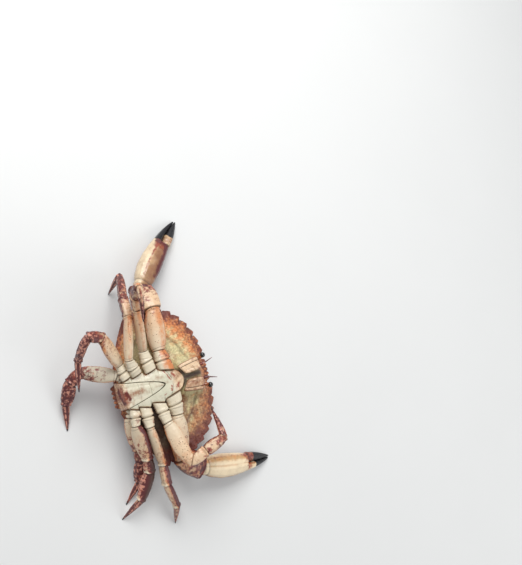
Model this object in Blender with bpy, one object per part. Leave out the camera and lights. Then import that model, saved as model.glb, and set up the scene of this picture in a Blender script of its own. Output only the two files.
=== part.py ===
"""A rock crab at life size, lying on its back with its limbs spread.

Lengths are in millimetres and angles in degrees up to the point where a mesh is made.
The body's own axes are forward (towards the mouth), right (the crab's right side) and up,
which is the crab's underside, because it lies on the dome of its shell.
"""
import math

import bpy
import numpy as np

MM = 0.001
GAP = 0.3
HEADING = 15.5

# Shell
SHELL_FRONT = 53.0
SHELL_WIDEST = -14.0
SHELL_REAR = 34.0
SHELL_HALF_WIDTH = 77.0
REAR_EDGE = -45.5
FRONT_POWER = 2.5
REAR_POWER = 1.25
RIM_HEIGHT = 25.0
HUB = np.array([-4.0, 0.0])
DOME_POWER = 2.1
DOME_FLAT = 0.2
BELLY_LIFT = 8.5
MOUTH_LIFT = 10.0
MOUTH_AT = 31.0
MOUTH_LENGTH = 15.0
MOUTH_WIDTH = 21.0
# Corners of a mouth plate, forward and sideways: inner and outer rear, inner and outer front
MOUTH_PLATE_REAR = ((24.6, 2.6), (17.4, 13.6))
MOUTH_PLATE_FRONT = ((41.0, 3.6), (39.5, 17.4))
MOUTH_PLATE_JOINT = 0.6
MOUTH_PLATE_STRIP = 0.72
MOUTH_PLATE_SLOPE = 0.05
SIDE_TEETH = 10
TOOTH_HEIGHT = 3.8
TOOTH_PEAK = 0.26
TOOTH_FALL = 0.62
TOOTH_NOTCH = 0.14
FRONT_TEETH = 5
FRONT_TOOTH_HEIGHT = 2.0
ORBIT_IN = 11.0
ORBIT_OUT = 17.0
ORBIT_DEPTH = 3.6

# Underside
# Half the sternum's breadth at places along the body, with a step between the limbs' roots
STERNUM_EDGE = (
    (-38.4, 13.5), (-37.7, 13.5), (-30.9, 16.5), (-29.5, 14.2), (-18.6, 17.9),
    (-16.2, 14.0), (-4.2, 17.4), (-2.2, 14.6), (13.8, 10.6), (17.3, 8.2),
    (19.4, 5.2), (20.6, 2.0),
)
STERNUM_TOP = 50.0
STERNUM_SUTURES = (-30.2, -17.4, -3.2)
ABDOMEN_TIP = 0.4
ABDOMEN_BASE = -41.0
ABDOMEN_HALF_WIDTH = 12.2
ABDOMEN_TAPER = 0.65
ABDOMEN_BEND_AT = -38.2
TELSON_AT = -15.0
EYE_RADIUS = 2.8
SEAT_GAP = 0.5
ABDOMEN_THICK = 2.4
BED_MARGIN = 0.6
ABDOMEN_CROWN = 0.45
ABDOMEN_BEND = 2.2
ABDOMEN_TURN = 80.0
# How far the abdomen's segment edges lie behind the telson's joint
SEGMENT_EDGES = (11.0, 26.0, 33.0, 39.0)
TELSON_ROUND_FROM = 8.0
TELSON_ROUND_OVER = 6.4
GROOVE = 0.7

# Limbs, numbered from the claw-bearing pair to the last pair
ROOT_FORWARD = {1: 6.0, 2: -10.0, 3: -24.0, 4: -34.6, 5: -35.6}
ROOT_RIGHT = {1: 12.9, 2: 16.1, 3: 16.4, 4: 15.4, 5: 15.0}
ROOT_HEIGHT = {1: 44.0, 2: 46.0, 3: 46.0, 4: 46.5, 5: 36.5}
# How far the inner end of each base turns from the body's line
ROOT_SLANT = {1: -14.0, 2: 16.0, 3: 19.0, 4: 20.0, 5: 20.0}
LENGTHS = {
    1: (20.0, 42.0, 29.0, 96.0),
    2: (21.0, 43.0, 16.0, 22.0, 34.0),
    3: (19.0, 42.0, 21.0, 30.0, 29.0),
    4: (15.0, 39.0, 15.0, 30.0, 30.0),
    5: (8.0, 36.0, 13.5, 24.0, 26.0),
}
# Breadth in the plane that the limb bends in, and thickness across it, per article
BREADTHS = {
    1: (15.5, 18.5, 24.5),
    2: (11.6, 15.0, 11.5, 11.5, 7.0),
    3: (11.0, 15.0, 11.5, 11.0, 7.0),
    4: (9.2, 14.5, 11.0, 11.5, 6.6),
    5: (7.5, 14.5, 12.0, 13.0, 6.6),
}
THICKNESSES = {
    1: (14.5, 15.0, 19.5),
    2: (10.5, 8.5, 9.0, 8.0, 5.4),
    3: (10.5, 8.5, 9.0, 8.0, 5.4),
    4: (8.8, 8.5, 8.5, 7.6, 5.2),
    5: (6.6, 8.5, 8.0, 7.6, 5.2),
}
# Heading and rise of each article, from its root outwards, for each limb. A rise of None
# lets the article down until its tip lies on the floor.
POSE = {
    ("right", 1): ((94, -6), (83, -2), (95, -35), (47, None)),
    ("left", 1): ((-91, -6), (-98, -2), (-44, -26), (-16, None)),
    ("right", 2): ((96, 3), (89, 20), (95, 42), (98, 78), (-89, -28)),
    ("left", 2): ((-83, 11), (-76, 16), (18, 8), (18, 0), (85, -35)),
    ("right", 3): ((110, 28), (75, -4), (84, -25), (75, -37), (-127, None)),
    ("left", 3): ((-93, 7), (-82, -16), (-90, -14), (-76, -22), (-93, None)),
    ("right", 4): ((101, -4), (115, 33), (168, 31), (-121, -46), (-99, -19)),
    ("left", 4): ((-101, 5), (-81, -21), (-88, -28), (-119, -16), (-141, None)),
    ("right", 5): ((137, 18), (157, -24), (-143, -27), (-112, -26), (-98, None)),
    ("left", 5): ((-116, 8), (-85, -19), (-84, -29), (-104, -24), (-132, None)),
}
TIP_REST = 0.35
CLAW_TIP_REST = 0.3
# How far each limb's hinges lean from upright, where 90 lets it bend up and down
HINGE_LEAN = {
    ("right", 1): 0, ("left", 1): 0,
    ("right", 2): 90, ("left", 2): 12,
    ("right", 3): 90, ("left", 3): 90,
    ("right", 4): 35, ("left", 4): 30,
    ("right", 5): 10, ("left", 5): 15,
}

# Claw outline, as shares of its length: how far its edges stand off the line to the tip
CLAW_ALONG = (0.0, 0.06, 0.14, 0.27, 0.42, 0.56, 0.62)
CLAW_LOWER = (7.0, 9.0, 11.8, 14.2, 14.0, 12.2, 11.0)
CLAW_UPPER = (6.4, 7.8, 9.5, 10.4, 9.8, 8.5, 8.0)
CLAW_THICK = (13.0, 16.0, 19.5, 22.0, 20.5, 17.0, 15.5)
FINGER_ALONG = (0.625, 0.64, 0.73, 0.82, 0.91, 0.97)
FINGER_LOWER = (10.9, 10.6, 8.9, 6.6, 3.6, 0.7)
FINGER_UPPER = (-1.8, -2.2, -2.4, -1.8, -0.5, 0.9)
FINGER_THICK = (12.4, 11.8, 9.6, 7.4, 4.8, 2.2)
THUMB_ALONG = (0.63, 0.67, 0.74, 0.83, 0.91, 0.98)
THUMB_LOWER = (0.8, 1.0, 1.2, 0.7, -0.4, -1.5)
THUMB_UPPER = (7.7, 8.6, 8.3, 6.9, 4.9, 2.7)
THUMB_THICK = (11.5, 11.5, 9.6, 7.2, 4.6, 2.0)

FINISHES = {
    "shell": ((0.42, 0.12, 0.07), 0.45),
    "cream": ((0.80, 0.74, 0.60), 0.35),
    "abdomen": ((0.72, 0.66, 0.56), 0.4),
    "mottled": ((0.45, 0.13, 0.12), 0.4),
    "claw": ((0.78, 0.52, 0.28), 0.35),
    "finger": ((0.02, 0.018, 0.018), 0.25),
    "eye": ((0.02, 0.02, 0.02), 0.15),
}


def unit(vector):
    """The vector at length one."""
    return vector / np.linalg.norm(vector)


def aim(heading, rise):
    """The direction with a compass heading from forward towards right, and a rise."""
    h = math.radians(heading)
    r = math.radians(rise)
    return np.array([math.cos(h) * math.cos(r), math.sin(h) * math.cos(r), math.sin(r)])


def finish(name):
    """The named material, made once."""
    if name in bpy.data.materials:
        return bpy.data.materials[name]
    colour, roughness = FINISHES[name]
    material = bpy.data.materials.new(name)
    material.use_nodes = True
    shader = material.node_tree.nodes["Principled BSDF"]
    shader.inputs["Base Color"].default_value = (*colour, 1.0)
    shader.inputs["Roughness"].default_value = roughness
    shader.inputs["Metallic"].default_value = 0.0
    return material


def solid(name, points, faces, finish_name, origin, parent):
    """An object whose mesh is a closed body, in metres, with its origin at a given place."""
    points = np.array(points, dtype=float)
    points[:, 2] = np.maximum(points[:, 2], 0.0)
    mesh = bpy.data.meshes.new(name)
    mesh.from_pydata(((points - origin) * MM).tolist(), [], faces)
    mesh.update()
    body = bpy.data.objects.new(name, mesh)
    bpy.context.scene.collection.objects.link(body)
    body.location = origin * MM
    body.parent = parent
    mesh.materials.append(finish(finish_name))
    mesh.shade_smooth()
    mesh.set_sharp_from_angle(angle=math.radians(40))
    return body


def tube_faces(rings, sides):
    """Triangles of a skin over stacked rings, closed by a fan at each end."""
    faces = []
    for ring in range(rings - 1):
        for side in range(sides):
            a = ring * sides + side
            b = ring * sides + (side + 1) % sides
            faces.append((a, b, b + sides))
            faces.append((a, b + sides, a + sides))
    first = rings * sides
    last = first + 1
    top = (rings - 1) * sides
    for side in range(sides):
        faces.append((first, (side + 1) % sides, side))
        faces.append((last, top + side, top + (side + 1) % sides))
    return faces


def close_tube(rings):
    """Points and triangles of stacked rings, each end closed at its own middle."""
    count, sides, _ = rings.shape
    points = np.concatenate([rings.reshape(-1, 3), [rings[0].mean(0)], [rings[-1].mean(0)]])
    faces = tube_faces(count, sides)
    corners = points[np.array(faces)]
    volume = np.einsum("ij,ij->i", corners[:, 0], np.cross(corners[:, 1], corners[:, 2])).sum()
    if volume < 0:
        faces = [face[::-1] for face in faces]
    return points, faces


# Shell

def half_margin():
    """Points of the right half of the shell's edge, front to rear, without teeth."""
    turn = np.linspace(0.0, math.pi / 2, 400)
    front = np.stack([
        SHELL_WIDEST + (SHELL_FRONT - SHELL_WIDEST) * np.cos(turn) ** (2 / FRONT_POWER),
        SHELL_HALF_WIDTH * np.sin(turn) ** (2 / FRONT_POWER)], axis=1)
    turn = np.linspace(math.pi / 2, 0.0, 400)
    rear = np.stack([
        SHELL_WIDEST - SHELL_REAR * np.cos(turn) ** (2 / REAR_POWER),
        SHELL_HALF_WIDTH * np.sin(turn) ** (2 / REAR_POWER)], axis=1)
    rear[:, 0] = np.maximum(rear[:, 0], REAR_EDGE)
    return np.concatenate([front, rear[1:]])


def lobe(share, peak):
    """A rounded lobe over 0 to 1 that is highest at peak."""
    rise = np.clip(share / peak, 0, 1)
    fall = np.clip((1 - share) / (1 - peak), 0, 1)
    return np.minimum(1 - (1 - rise) ** 2.2, 1 - (1 - fall) ** 3.0)


def hooked(share):
    """A side tooth over 0 to 1: a tip near its front and a long side that falls to a notch."""
    front = np.clip(share / TOOTH_PEAK, 0, 1) ** 0.8
    side = 1 - TOOTH_FALL * np.clip((share - TOOTH_PEAK) / (1 - TOOTH_PEAK), 0, 1)
    notch = np.clip((1 - share) / TOOTH_NOTCH, 0, 1) ** 0.6
    return np.minimum(np.minimum(front, side), notch)


def margin(count):
    """The toothed edge of the shell as count points, from the front round the right side."""
    line = half_margin()
    steps = np.linalg.norm(np.diff(line, axis=0), axis=1)
    along = np.concatenate([[0.0], np.cumsum(steps)])
    wanted = np.linspace(0.0, along[-1], count // 2 + 1)
    side = np.stack([np.interp(wanted, along, line[:, i]) for i in (0, 1)], axis=1)
    widest_at = along[np.argmax(line[:, 1])]
    out_at = np.interp(ORBIT_OUT, line[:400, 1], along[:400])
    share = (wanted - out_at) / (widest_at + 4.0 - out_at)
    cell = share * SIDE_TEETH
    inside = (share > 0) & (share < 1)
    growth = 0.75 + 0.45 * share
    out = np.where(inside, TOOTH_HEIGHT * growth * hooked(np.mod(cell, 1.0)), 0.0)
    across = side[:, 1]
    pitch = 2 * ORBIT_IN / FRONT_TEETH
    front = across < ORBIT_IN
    out = np.where(front, FRONT_TOOTH_HEIGHT * lobe(np.mod(across / pitch + 0.5, 1.0), 0.5), out)
    orbit = (across >= ORBIT_IN) & (across <= ORBIT_OUT)
    dip = np.sin(math.pi * (across - ORBIT_IN) / (ORBIT_OUT - ORBIT_IN))
    out = np.where(orbit, -ORBIT_DEPTH * dip, out)
    tangent = np.gradient(side, axis=0)
    tangent /= np.linalg.norm(tangent, axis=1)[:, None]
    normal = np.stack([tangent[:, 1], -tangent[:, 0]], axis=1)
    toothed = side + normal * out[:, None]
    mirrored = toothed[1:-1][::-1] * np.array([1.0, -1.0])
    smooth = np.concatenate([side, side[1:-1][::-1] * np.array([1.0, -1.0])])
    return np.concatenate([toothed, mirrored]), smooth


def dome(share):
    """Height of the shell's back over the floor at a share of the way to its edge."""
    return RIM_HEIGHT * np.clip((share - DOME_FLAT) / (1 - DOME_FLAT), 0, 1) ** DOME_POWER


def belly(share, forward, right):
    """Height of the shell's underside, with the raised frame round the mouth."""
    frame = ((forward - MOUTH_AT) / MOUTH_LENGTH) ** 6 + (right / MOUTH_WIDTH) ** 6
    lift = BELLY_LIFT * (1 - share ** 4) + MOUTH_LIFT * np.exp(-frame)
    return RIM_HEIGHT + lift


def stitch(outer, outer_at, inner, inner_at):
    """Triangles between two rings, where the outer has as many points as the inner or twice."""
    faces = []
    ratio = outer // inner
    for i in range(inner):
        a = inner_at + i
        b = inner_at + (i + 1) % inner
        first = outer_at + i * ratio
        mid = outer_at + (i * ratio + 1) % outer
        last = outer_at + ((i + 1) * ratio) % outer
        if ratio == 1:
            faces += [(first, last, b), (first, b, a)]
        else:
            faces += [(first, mid, a), (mid, b, a), (mid, last, b)]
    return faces


def shell(parent):
    """The shell: a dome below and a sloping underside above, which meet at the toothed edge."""
    count = 224
    toothed, smooth = margin(count)
    points = [np.column_stack([toothed, np.full(count, RIM_HEIGHT)])]
    faces = []
    made = count
    plans = {
        "back": ((0.93, 1), (0.8, 2), (0.62, 2), (0.42, 4), (0.2, 4)),
        "under": ((0.94, 1), (0.85, 2), (0.72, 2), (0.6, 2), (0.48, 2), (0.34, 4), (0.16, 4)),
    }
    for face, plan in plans.items():
        before, before_at = count, 0
        for share, thinning in plan:
            ring = HUB + (smooth[::thinning] - HUB) * share
            if face == "back":
                height = np.full(len(ring), dome(share))
            else:
                height = belly(share, ring[:, 0], ring[:, 1])
            points.append(np.column_stack([ring, height]))
            part = stitch(before, before_at, len(ring), made)
            faces += part if face == "under" else [f[::-1] for f in part]
            before, before_at = len(ring), made
            made += len(ring)
        height = 0.0 if face == "back" else float(belly(0.0, HUB[0], HUB[1]))
        points.append(np.array([[HUB[0], HUB[1], height]]))
        for i in range(before):
            edge = (before_at + i, before_at + (i + 1) % before, made)
            faces.append(edge if face == "under" else edge[::-1])
        made += 1
    return solid("carapace", np.concatenate(points), faces, "shell", np.zeros(3), parent)


# Plates of the underside

def plate(name, finish_name, parent, along, across, top, bottom):
    """A closed plate over a grid: along and across give places, top and bottom give points."""
    rows, columns = len(along), len(across)
    upper = np.array([[top(s, t) for t in across] for s in along]).reshape(-1, 3)
    lower = np.array([[bottom(s, t) for t in across] for s in along]).reshape(-1, 3)
    points = np.concatenate([upper, lower])
    below = rows * columns
    faces = []
    for i in range(rows - 1):
        for j in range(columns - 1):
            a = i * columns + j
            b, c, d = a + columns, a + columns + 1, a + 1
            faces += [(a, b, c), (a, c, d)]
            faces += [(below + a, below + c, below + b), (below + a, below + d, below + c)]
    rim = [j for j in range(columns)]
    rim += [i * columns + columns - 1 for i in range(1, rows)]
    rim += [(rows - 1) * columns + j for j in range(columns - 2, -1, -1)]
    rim += [i * columns for i in range(rows - 2, 0, -1)]
    for a, b in zip(rim, rim[1:] + rim[:1]):
        faces += [(a, b, below + b), (a, below + b, below + a)]
    corners = points[np.array(faces)]
    volume = np.einsum("ij,ij->i", corners[:, 0], np.cross(corners[:, 1], corners[:, 2])).sum()
    if volume < 0:
        faces = [face[::-1] for face in faces]
    return solid(name, points, faces, finish_name, points.mean(0), parent)


def abdomen_half(forward):
    """Half the abdomen's breadth at a place along the body."""
    share = np.clip((ABDOMEN_TIP - forward) / (ABDOMEN_TIP - ABDOMEN_BASE), 0.0, 1.0)
    return ABDOMEN_HALF_WIDTH * share ** ABDOMEN_TAPER


def sternum_half(forward):
    """Half the sternum's breadth, stepped between the limbs and blunt at the mouth."""
    places, halves = zip(*STERNUM_EDGE)
    return float(np.interp(forward, places, halves))


def sternum_top(forward, right):
    """The sternum's face, with the bed that the abdomen lies in."""
    height = STERNUM_TOP - 0.012 * right ** 2 - 0.14 * max(forward - 2.0, 0.0)
    nearest = min(abs(forward - place) for place in STERNUM_SUTURES)
    if nearest < 0.5 and abs(right) > abdomen_half(forward) + 1.2:
        height -= GROOVE
    return height


def sternum(parent):
    """The plate between the legs, with the abdomen's bed cut into it."""
    def top(s, t):
        return s, t * sternum_half(s), sternum_top(s, t * sternum_half(s))

    def bottom(s, t):
        side = t * sternum_half(s)
        share = min(np.hypot(s - HUB[0], side) / 46.0, 0.92)
        floor = RIM_HEIGHT + BELLY_LIFT * (1 - share ** 4) + 0.9
        nose = max(s - 8.5, 0.0)
        return s, side, floor + nose

    places = [-38.4, -37.7, -36, -33, -30.9, -30.2, -29.5, -26, -22, -18.6, -17.4, -16.2, -12,
              -8, -4.2, -3.2, -2.2, 2, 6, 10, 13.8, 17.3, 19.4, 20.6]
    across = np.linspace(-1, 1, 11)
    body = plate("sternum", "cream", parent, places, across, top, bottom)
    rows = [ABDOMEN_BASE - 6.0] + list(np.linspace(ABDOMEN_BASE, ABDOMEN_TIP + 1.0, 8))

    def cut_top(s, t):
        return s, t * (abdomen_half(s) + BED_MARGIN), STERNUM_TOP + 5.0

    def cut_bottom(s, t):
        return s, t * (abdomen_half(s) + BED_MARGIN), STERNUM_TOP - ABDOMEN_THICK - GAP

    cutter = plate("abdomen_bed", "cream", parent, rows, (-1, 1), cut_top, cut_bottom)
    cutter.hide_render = True
    cutter.display_type = "WIRE"
    bed = body.modifiers.new("bed", "BOOLEAN")
    bed.operation = "DIFFERENCE"
    bed.solver = "EXACT"
    bed.object = cutter
    return body


def abdomen(parent):
    """The folded abdomen, which bends round the rear of the body, and its telson."""
    mid = STERNUM_TOP - ABDOMEN_THICK / 2
    rear = ABDOMEN_BEND_AT
    flat = TELSON_AT - rear
    limit = math.radians(ABDOMEN_TURN)

    def spine(s):
        """Place and outward direction at a distance s back from the telson's joint."""
        if s < flat:
            return np.array([TELSON_AT - s, mid]), np.array([0.0, 1.0])
        turn = min((s - flat) / ABDOMEN_BEND, limit)
        sine, cosine = math.sin(turn), math.cos(turn)
        bent = np.array([rear - ABDOMEN_BEND * sine, mid - ABDOMEN_BEND * (1 - cosine)])
        rest = s - flat - ABDOMEN_BEND * turn
        return bent - rest * np.array([cosine, sine]), np.array([-sine, cosine])

    def half(s):
        if s < SEGMENT_EDGES[1]:
            return float(abdomen_half(TELSON_AT - s))
        return ABDOMEN_HALF_WIDTH + 0.08 * (s - SEGMENT_EDGES[1])

    def face(sign):
        def at(s, t):
            place, out = spine(s)
            reach = ABDOMEN_THICK / 2
            if sign > 0:
                reach *= 1.0 - ABDOMEN_CROWN * t * t
                if min(abs(s - edge) for edge in SEGMENT_EDGES) < 0.6:
                    reach -= GROOVE
            spot = place + out * sign * reach
            return spot[0], t * half(s), spot[1]
        return at

    places = [0.0, 4, 8, 10.4, 11, 11.6, 16, 20, 23.2, 24, 24.8, 25.4, 26, 26.6, 29]
    places += [31, 32.4, 33, 33.6, 36, 38.4, 39, 39.6, 43.5]
    plate("abdomen", "abdomen", parent, places, np.linspace(-1, 1, 9), face(1), face(-1))

    def telson_face(sign):
        def at(s, t):
            crown = 1.0 - ABDOMEN_CROWN * t * t if sign > 0 else 1.0
            beyond = max(s - TELSON_AT - TELSON_ROUND_FROM, 0.0) / TELSON_ROUND_OVER
            half_here = float(abdomen_half(s)) * math.sqrt(max(1.0 - beyond ** 2, 0.04))
            return s, t * half_here, mid + sign * crown * ABDOMEN_THICK / 2
        return at

    ends = list(np.linspace(TELSON_AT + GAP, ABDOMEN_TIP - 0.2, 8))
    plate("telson", "abdomen", parent, ends, np.linspace(-1, 1, 7), telson_face(1), telson_face(-1))


def mouthpart(name, side, parent):
    """A third maxilliped: a long plate over the mouth with its palp strip beside it."""
    rear_inner, rear_outer = np.array(MOUTH_PLATE_REAR)
    front_inner, front_outer = np.array(MOUTH_PLATE_FRONT)

    def at(height, sign):
        def spot(s, t):
            across = 0.5 + (t - 0.5) * (1 - 0.16 * abs(2 * s - 1) ** 5)
            rear = rear_inner + (rear_outer - rear_inner) * across
            front = front_inner + (front_outer - front_inner) * across
            forward, right = rear + (front - rear) * s
            z = height - MOUTH_PLATE_SLOPE * (forward - rear_outer[0])
            if sign > 0:
                z -= 0.8 * (2 * t - 1) ** 2
                if abs(t - MOUTH_PLATE_STRIP) < 0.02 or abs(s - MOUTH_PLATE_JOINT) < 0.02:
                    z -= GROOVE
            return forward, side * right, z
        return spot

    base = RIM_HEIGHT + BELLY_LIFT + MOUTH_LIFT + 0.8
    along = [0.0, 0.06, 0.2, 0.4, 0.56, 0.6, 0.64, 0.8, 0.94, 1.0]
    across = [0.0, 0.08, 0.25, 0.5, 0.66, 0.72, 0.78, 0.92, 1.0]
    plate(name, "cream", parent, along, across, at(base + 4.0, 1), at(base, -1))


def belly_at(forward, right):
    """The underside's place and outward direction above a point."""
    def height(x, y):
        line = half_margin()
        way = np.array([x, abs(y)]) - HUB
        turn = math.atan2(way[1], way[0])
        turns = np.arctan2(line[:, 1] - HUB[1], line[:, 0] - HUB[0])
        reach = np.interp(turn, turns, np.linalg.norm(line - HUB, axis=1))
        return float(belly(np.linalg.norm(way) / reach, x, y))

    step = 1.5
    z = height(forward, right)
    rise_forward = (height(forward + step, right) - z) / step
    rise_right = (height(forward, right + step) - z) / step
    return np.array([forward, right, z]), unit(np.array([-rise_forward, -rise_right, 1.0]))


def stalk(name, finish_name, parent, forward, right, out, stops, radii, sides):
    """A round stalk that grows from the shell's underside and bends to a direction."""
    root, normal = belly_at(forward, right)
    root = root + normal * SEAT_GAP
    share = np.clip(np.array(stops) / stops[-1] * 2.0, 0, 1)
    ways = np.array([unit(normal * (1 - k) + out * k) for k in share])
    path = [root]
    for before, after, way in zip(stops, stops[1:], ways):
        path.append(path[-1] + way * (after - before))
    sizes = np.array(radii) * 2
    rings = article(np.array(path), ways, unit(np.cross(normal, [0.3, 1.0, 0.1])), sizes, sizes, 2.0,
                    (root, normal), None, sides=sides)
    points, faces = close_tube(rings)
    return solid(name, points, faces, finish_name, root, parent)


def eye(name, side, parent):
    """An eye: a short stalk in the orbit that ends in a black ball."""
    out = unit(np.array([0.72, side * 0.42, 0.35]))
    stops = [0.0, 1.6, 3.2]
    radii = [1.9, 1.7, 1.9]
    for turn in (-42, -14, 14, 42, 70):
        stops.append(3.4 + EYE_RADIUS * (0.8 + math.sin(math.radians(turn))))
        radii.append(EYE_RADIUS * math.cos(math.radians(turn)))
    return stalk(name, "eye", parent, 44.0, side * 13.8, out, stops, radii, 10)


def antenna(name, side, parent):
    """A short feeler between the eye and the mouth, thick at its base."""
    out = unit(np.array([0.92, side * 0.3, 0.1]))
    stops = [0.0, 2.0, 4.0, 4.7, 7.5, 10.5, 14.0]
    radii = [1.6, 1.5, 1.3, 0.8, 0.62, 0.46, 0.3]
    return stalk(name, "mottled", parent, 45.5, side * 7.2, out, stops, radii, 8)


# Limbs

def joints(side, pair):
    """The places of a limb's joints, from its root to its tip."""
    sign = 1.0 if side == "right" else -1.0
    place = np.array([ROOT_FORWARD[pair], sign * ROOT_RIGHT[pair], ROOT_HEIGHT[pair]])
    places = [place]
    for length, (heading, rise) in zip(LENGTHS[pair], POSE[side, pair]):
        if rise is None:
            drop = places[-1][2] - (CLAW_TIP_REST if pair == 1 else TIP_REST)
            rise = -math.degrees(math.asin(drop / length))
        places.append(places[-1] + length * aim(heading, rise))
    return places


def hinge_axis(side, pair, merus):
    """The axis that a limb bends about, leaning from upright about the merus."""
    upright = unit(np.array([0.0, 0.0, 1.0]) - merus[2] * merus)
    level = np.cross(merus, upright)
    lean = math.radians(HINGE_LEAN[side, pair])
    return upright * math.cos(lean) + level * math.sin(lean)


def blend_at(before, after):
    """How the two articles at a joint turn towards each other where the limb folds sharply."""
    bend = math.degrees(math.acos(np.clip(before @ after, -1, 1)))
    share = np.clip((bend - 45) / 85, 0, 1) * 0.55
    return unit(before + share * after), unit(after + share * before)


def curve(start, end, leave, arrive, count):
    """Points and directions along a smooth curve between two places."""
    t = np.linspace(0, 1, count)[:, None]
    length = np.linalg.norm(end - start)
    a, b = leave * length, arrive * length
    at = ((2 * t**3 - 3 * t**2 + 1) * start + (t**3 - 2 * t**2 + t) * a
          + (-2 * t**3 + 3 * t**2) * end + (t**3 - t**2) * b)
    way = ((6 * t**2 - 6 * t) * start + (3 * t**2 - 4 * t + 1) * a
           + (-6 * t**2 + 6 * t) * end + (3 * t**2 - 2 * t) * b)
    return at, way / np.linalg.norm(way, axis=1)[:, None]


def article(path, ways, axis, breadths, thicknesses, power, first_plane, last_plane,
            flute=0.0, sides=12):
    """Rings of a limb's article along a path, its ends cut by the planes of its joints."""
    turn = (np.arange(sides) + 0.5) * 2 * math.pi / sides
    wide = np.sign(np.cos(turn)) * np.abs(np.cos(turn)) ** (2 / power)
    thick = np.sign(np.sin(turn)) * np.abs(np.sin(turn)) ** (2 / power)
    ripple = 1.0 + flute * np.cos(sides / 2 * turn)
    rings = []
    for at, way, breadth, thickness in zip(path, ways, breadths, thicknesses):
        across = unit(axis - (axis @ way) * way)
        broad = np.cross(way, across)
        outward = (wide * ripple * breadth / 2)[:, None] * broad
        upward = (thick * ripple * thickness / 2)[:, None] * across
        rings.append(at + outward + upward)
    rings = np.array(rings)
    share = np.linspace(0, 1, len(rings))
    for plane, weight, end in ((first_plane, (1 - share) ** 2, 0), (last_plane, share ** 2, -1)):
        if plane is None:
            continue
        point, normal = plane
        way = ways[end]
        slide = ((point - rings[end]) @ normal) / (way @ normal)
        rings = rings + weight[:, None, None] * slide[None, :, None] * way
    return rings


def spread(values, count):
    """A smooth run of count values through a few given ones."""
    return np.interp(np.linspace(0, 1, count), np.linspace(0, 1, len(values)), values)


ARTICLE_NAMES = ("base", "merus", "carpus", "propodus", "dactyl")
BREADTH_SHAPES = {
    "base": (1.0, 1.0, 0.9, 0.97, 0.86, 0.72),
    "merus": (0.62, 0.86, 0.98, 1.0, 0.97, 0.84, 0.7),
    "carpus": (0.72, 0.9, 1.0, 1.0, 0.92),
    "propodus": (0.8, 0.97, 1.0, 0.95, 0.84, 0.66),
    "dactyl": (1.0, 0.94, 0.82, 0.68, 0.5, 0.3, 0.13),
}
THICKNESS_SHAPES = {
    "base": (1.0, 1.0, 0.92, 0.98, 0.9, 0.78),
    "merus": (0.86, 0.98, 1.0, 1.0, 1.0, 0.95, 0.85),
    "carpus": (0.8, 0.95, 1.0, 1.0, 0.9),
    "propodus": (0.86, 1.0, 1.0, 0.97, 0.88, 0.76),
    "dactyl": (1.0, 0.94, 0.84, 0.7, 0.52, 0.34, 0.16),
}
RING_COUNTS = {"base": 6, "merus": 7, "carpus": 5, "propodus": 6, "dactyl": 8}


def limb(side, pair, parent):
    """All articles of one limb, each cut a gap short of the plane it shares with the next."""
    places = joints(side, pair)
    directions = [unit(b - a) for a, b in zip(places, places[1:])]
    axis = hinge_axis(side, pair, directions[1])
    sign = 1.0 if side == "right" else -1.0
    plain = len(directions) if pair > 1 else 3
    leaving = list(directions)
    arriving = list(directions)
    for i in range(len(directions) - 1):
        arriving[i], leaving[i + 1] = blend_at(directions[i], directions[i + 1])
    kind = "leg" if pair > 1 else "cheliped"
    for i in range(plain):
        part = ARTICLE_NAMES[i]
        count = RING_COUNTS[part]
        path, ways = curve(places[i], places[i + 1], leaving[i], arriving[i], count)
        if i == 0:
            slant = math.radians(ROOT_SLANT[pair])
            first = (places[0], np.array([-math.sin(slant), sign * math.cos(slant), 0.0]))
        else:
            normal = unit(arriving[i - 1] + leaving[i])
            first = (places[i] + normal * GAP / 2, normal)
        last = None
        if i + 1 < len(directions):
            normal = unit(arriving[i] + leaving[i + 1])
            last = (places[i + 1] - normal * GAP / 2, normal)
        breadths = BREADTHS[pair][i] * spread(BREADTH_SHAPES[part], count)
        thicknesses = THICKNESSES[pair][i] * spread(THICKNESS_SHAPES[part], count)
        power = 2.6 if part in ("base", "carpus") else 2.2
        flute = 0.04 if part == "dactyl" else 0.0
        cut_axis = axis
        if i == 0:
            cut_axis = np.array([0.0, 0.0, 1.0])
        rings = article(path, ways, cut_axis, breadths, thicknesses, power, first, last, flute)
        points, faces = close_tube(rings)
        number = "" if pair == 1 else str(pair)
        name = f"{side}_{kind}{number}_{part}"
        finish_name = "cream" if part in ("base", "merus") else "mottled"
        solid(name, points, faces, finish_name, places[i], parent)
    if pair == 1:
        claw(side, places, directions, parent)


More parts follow.
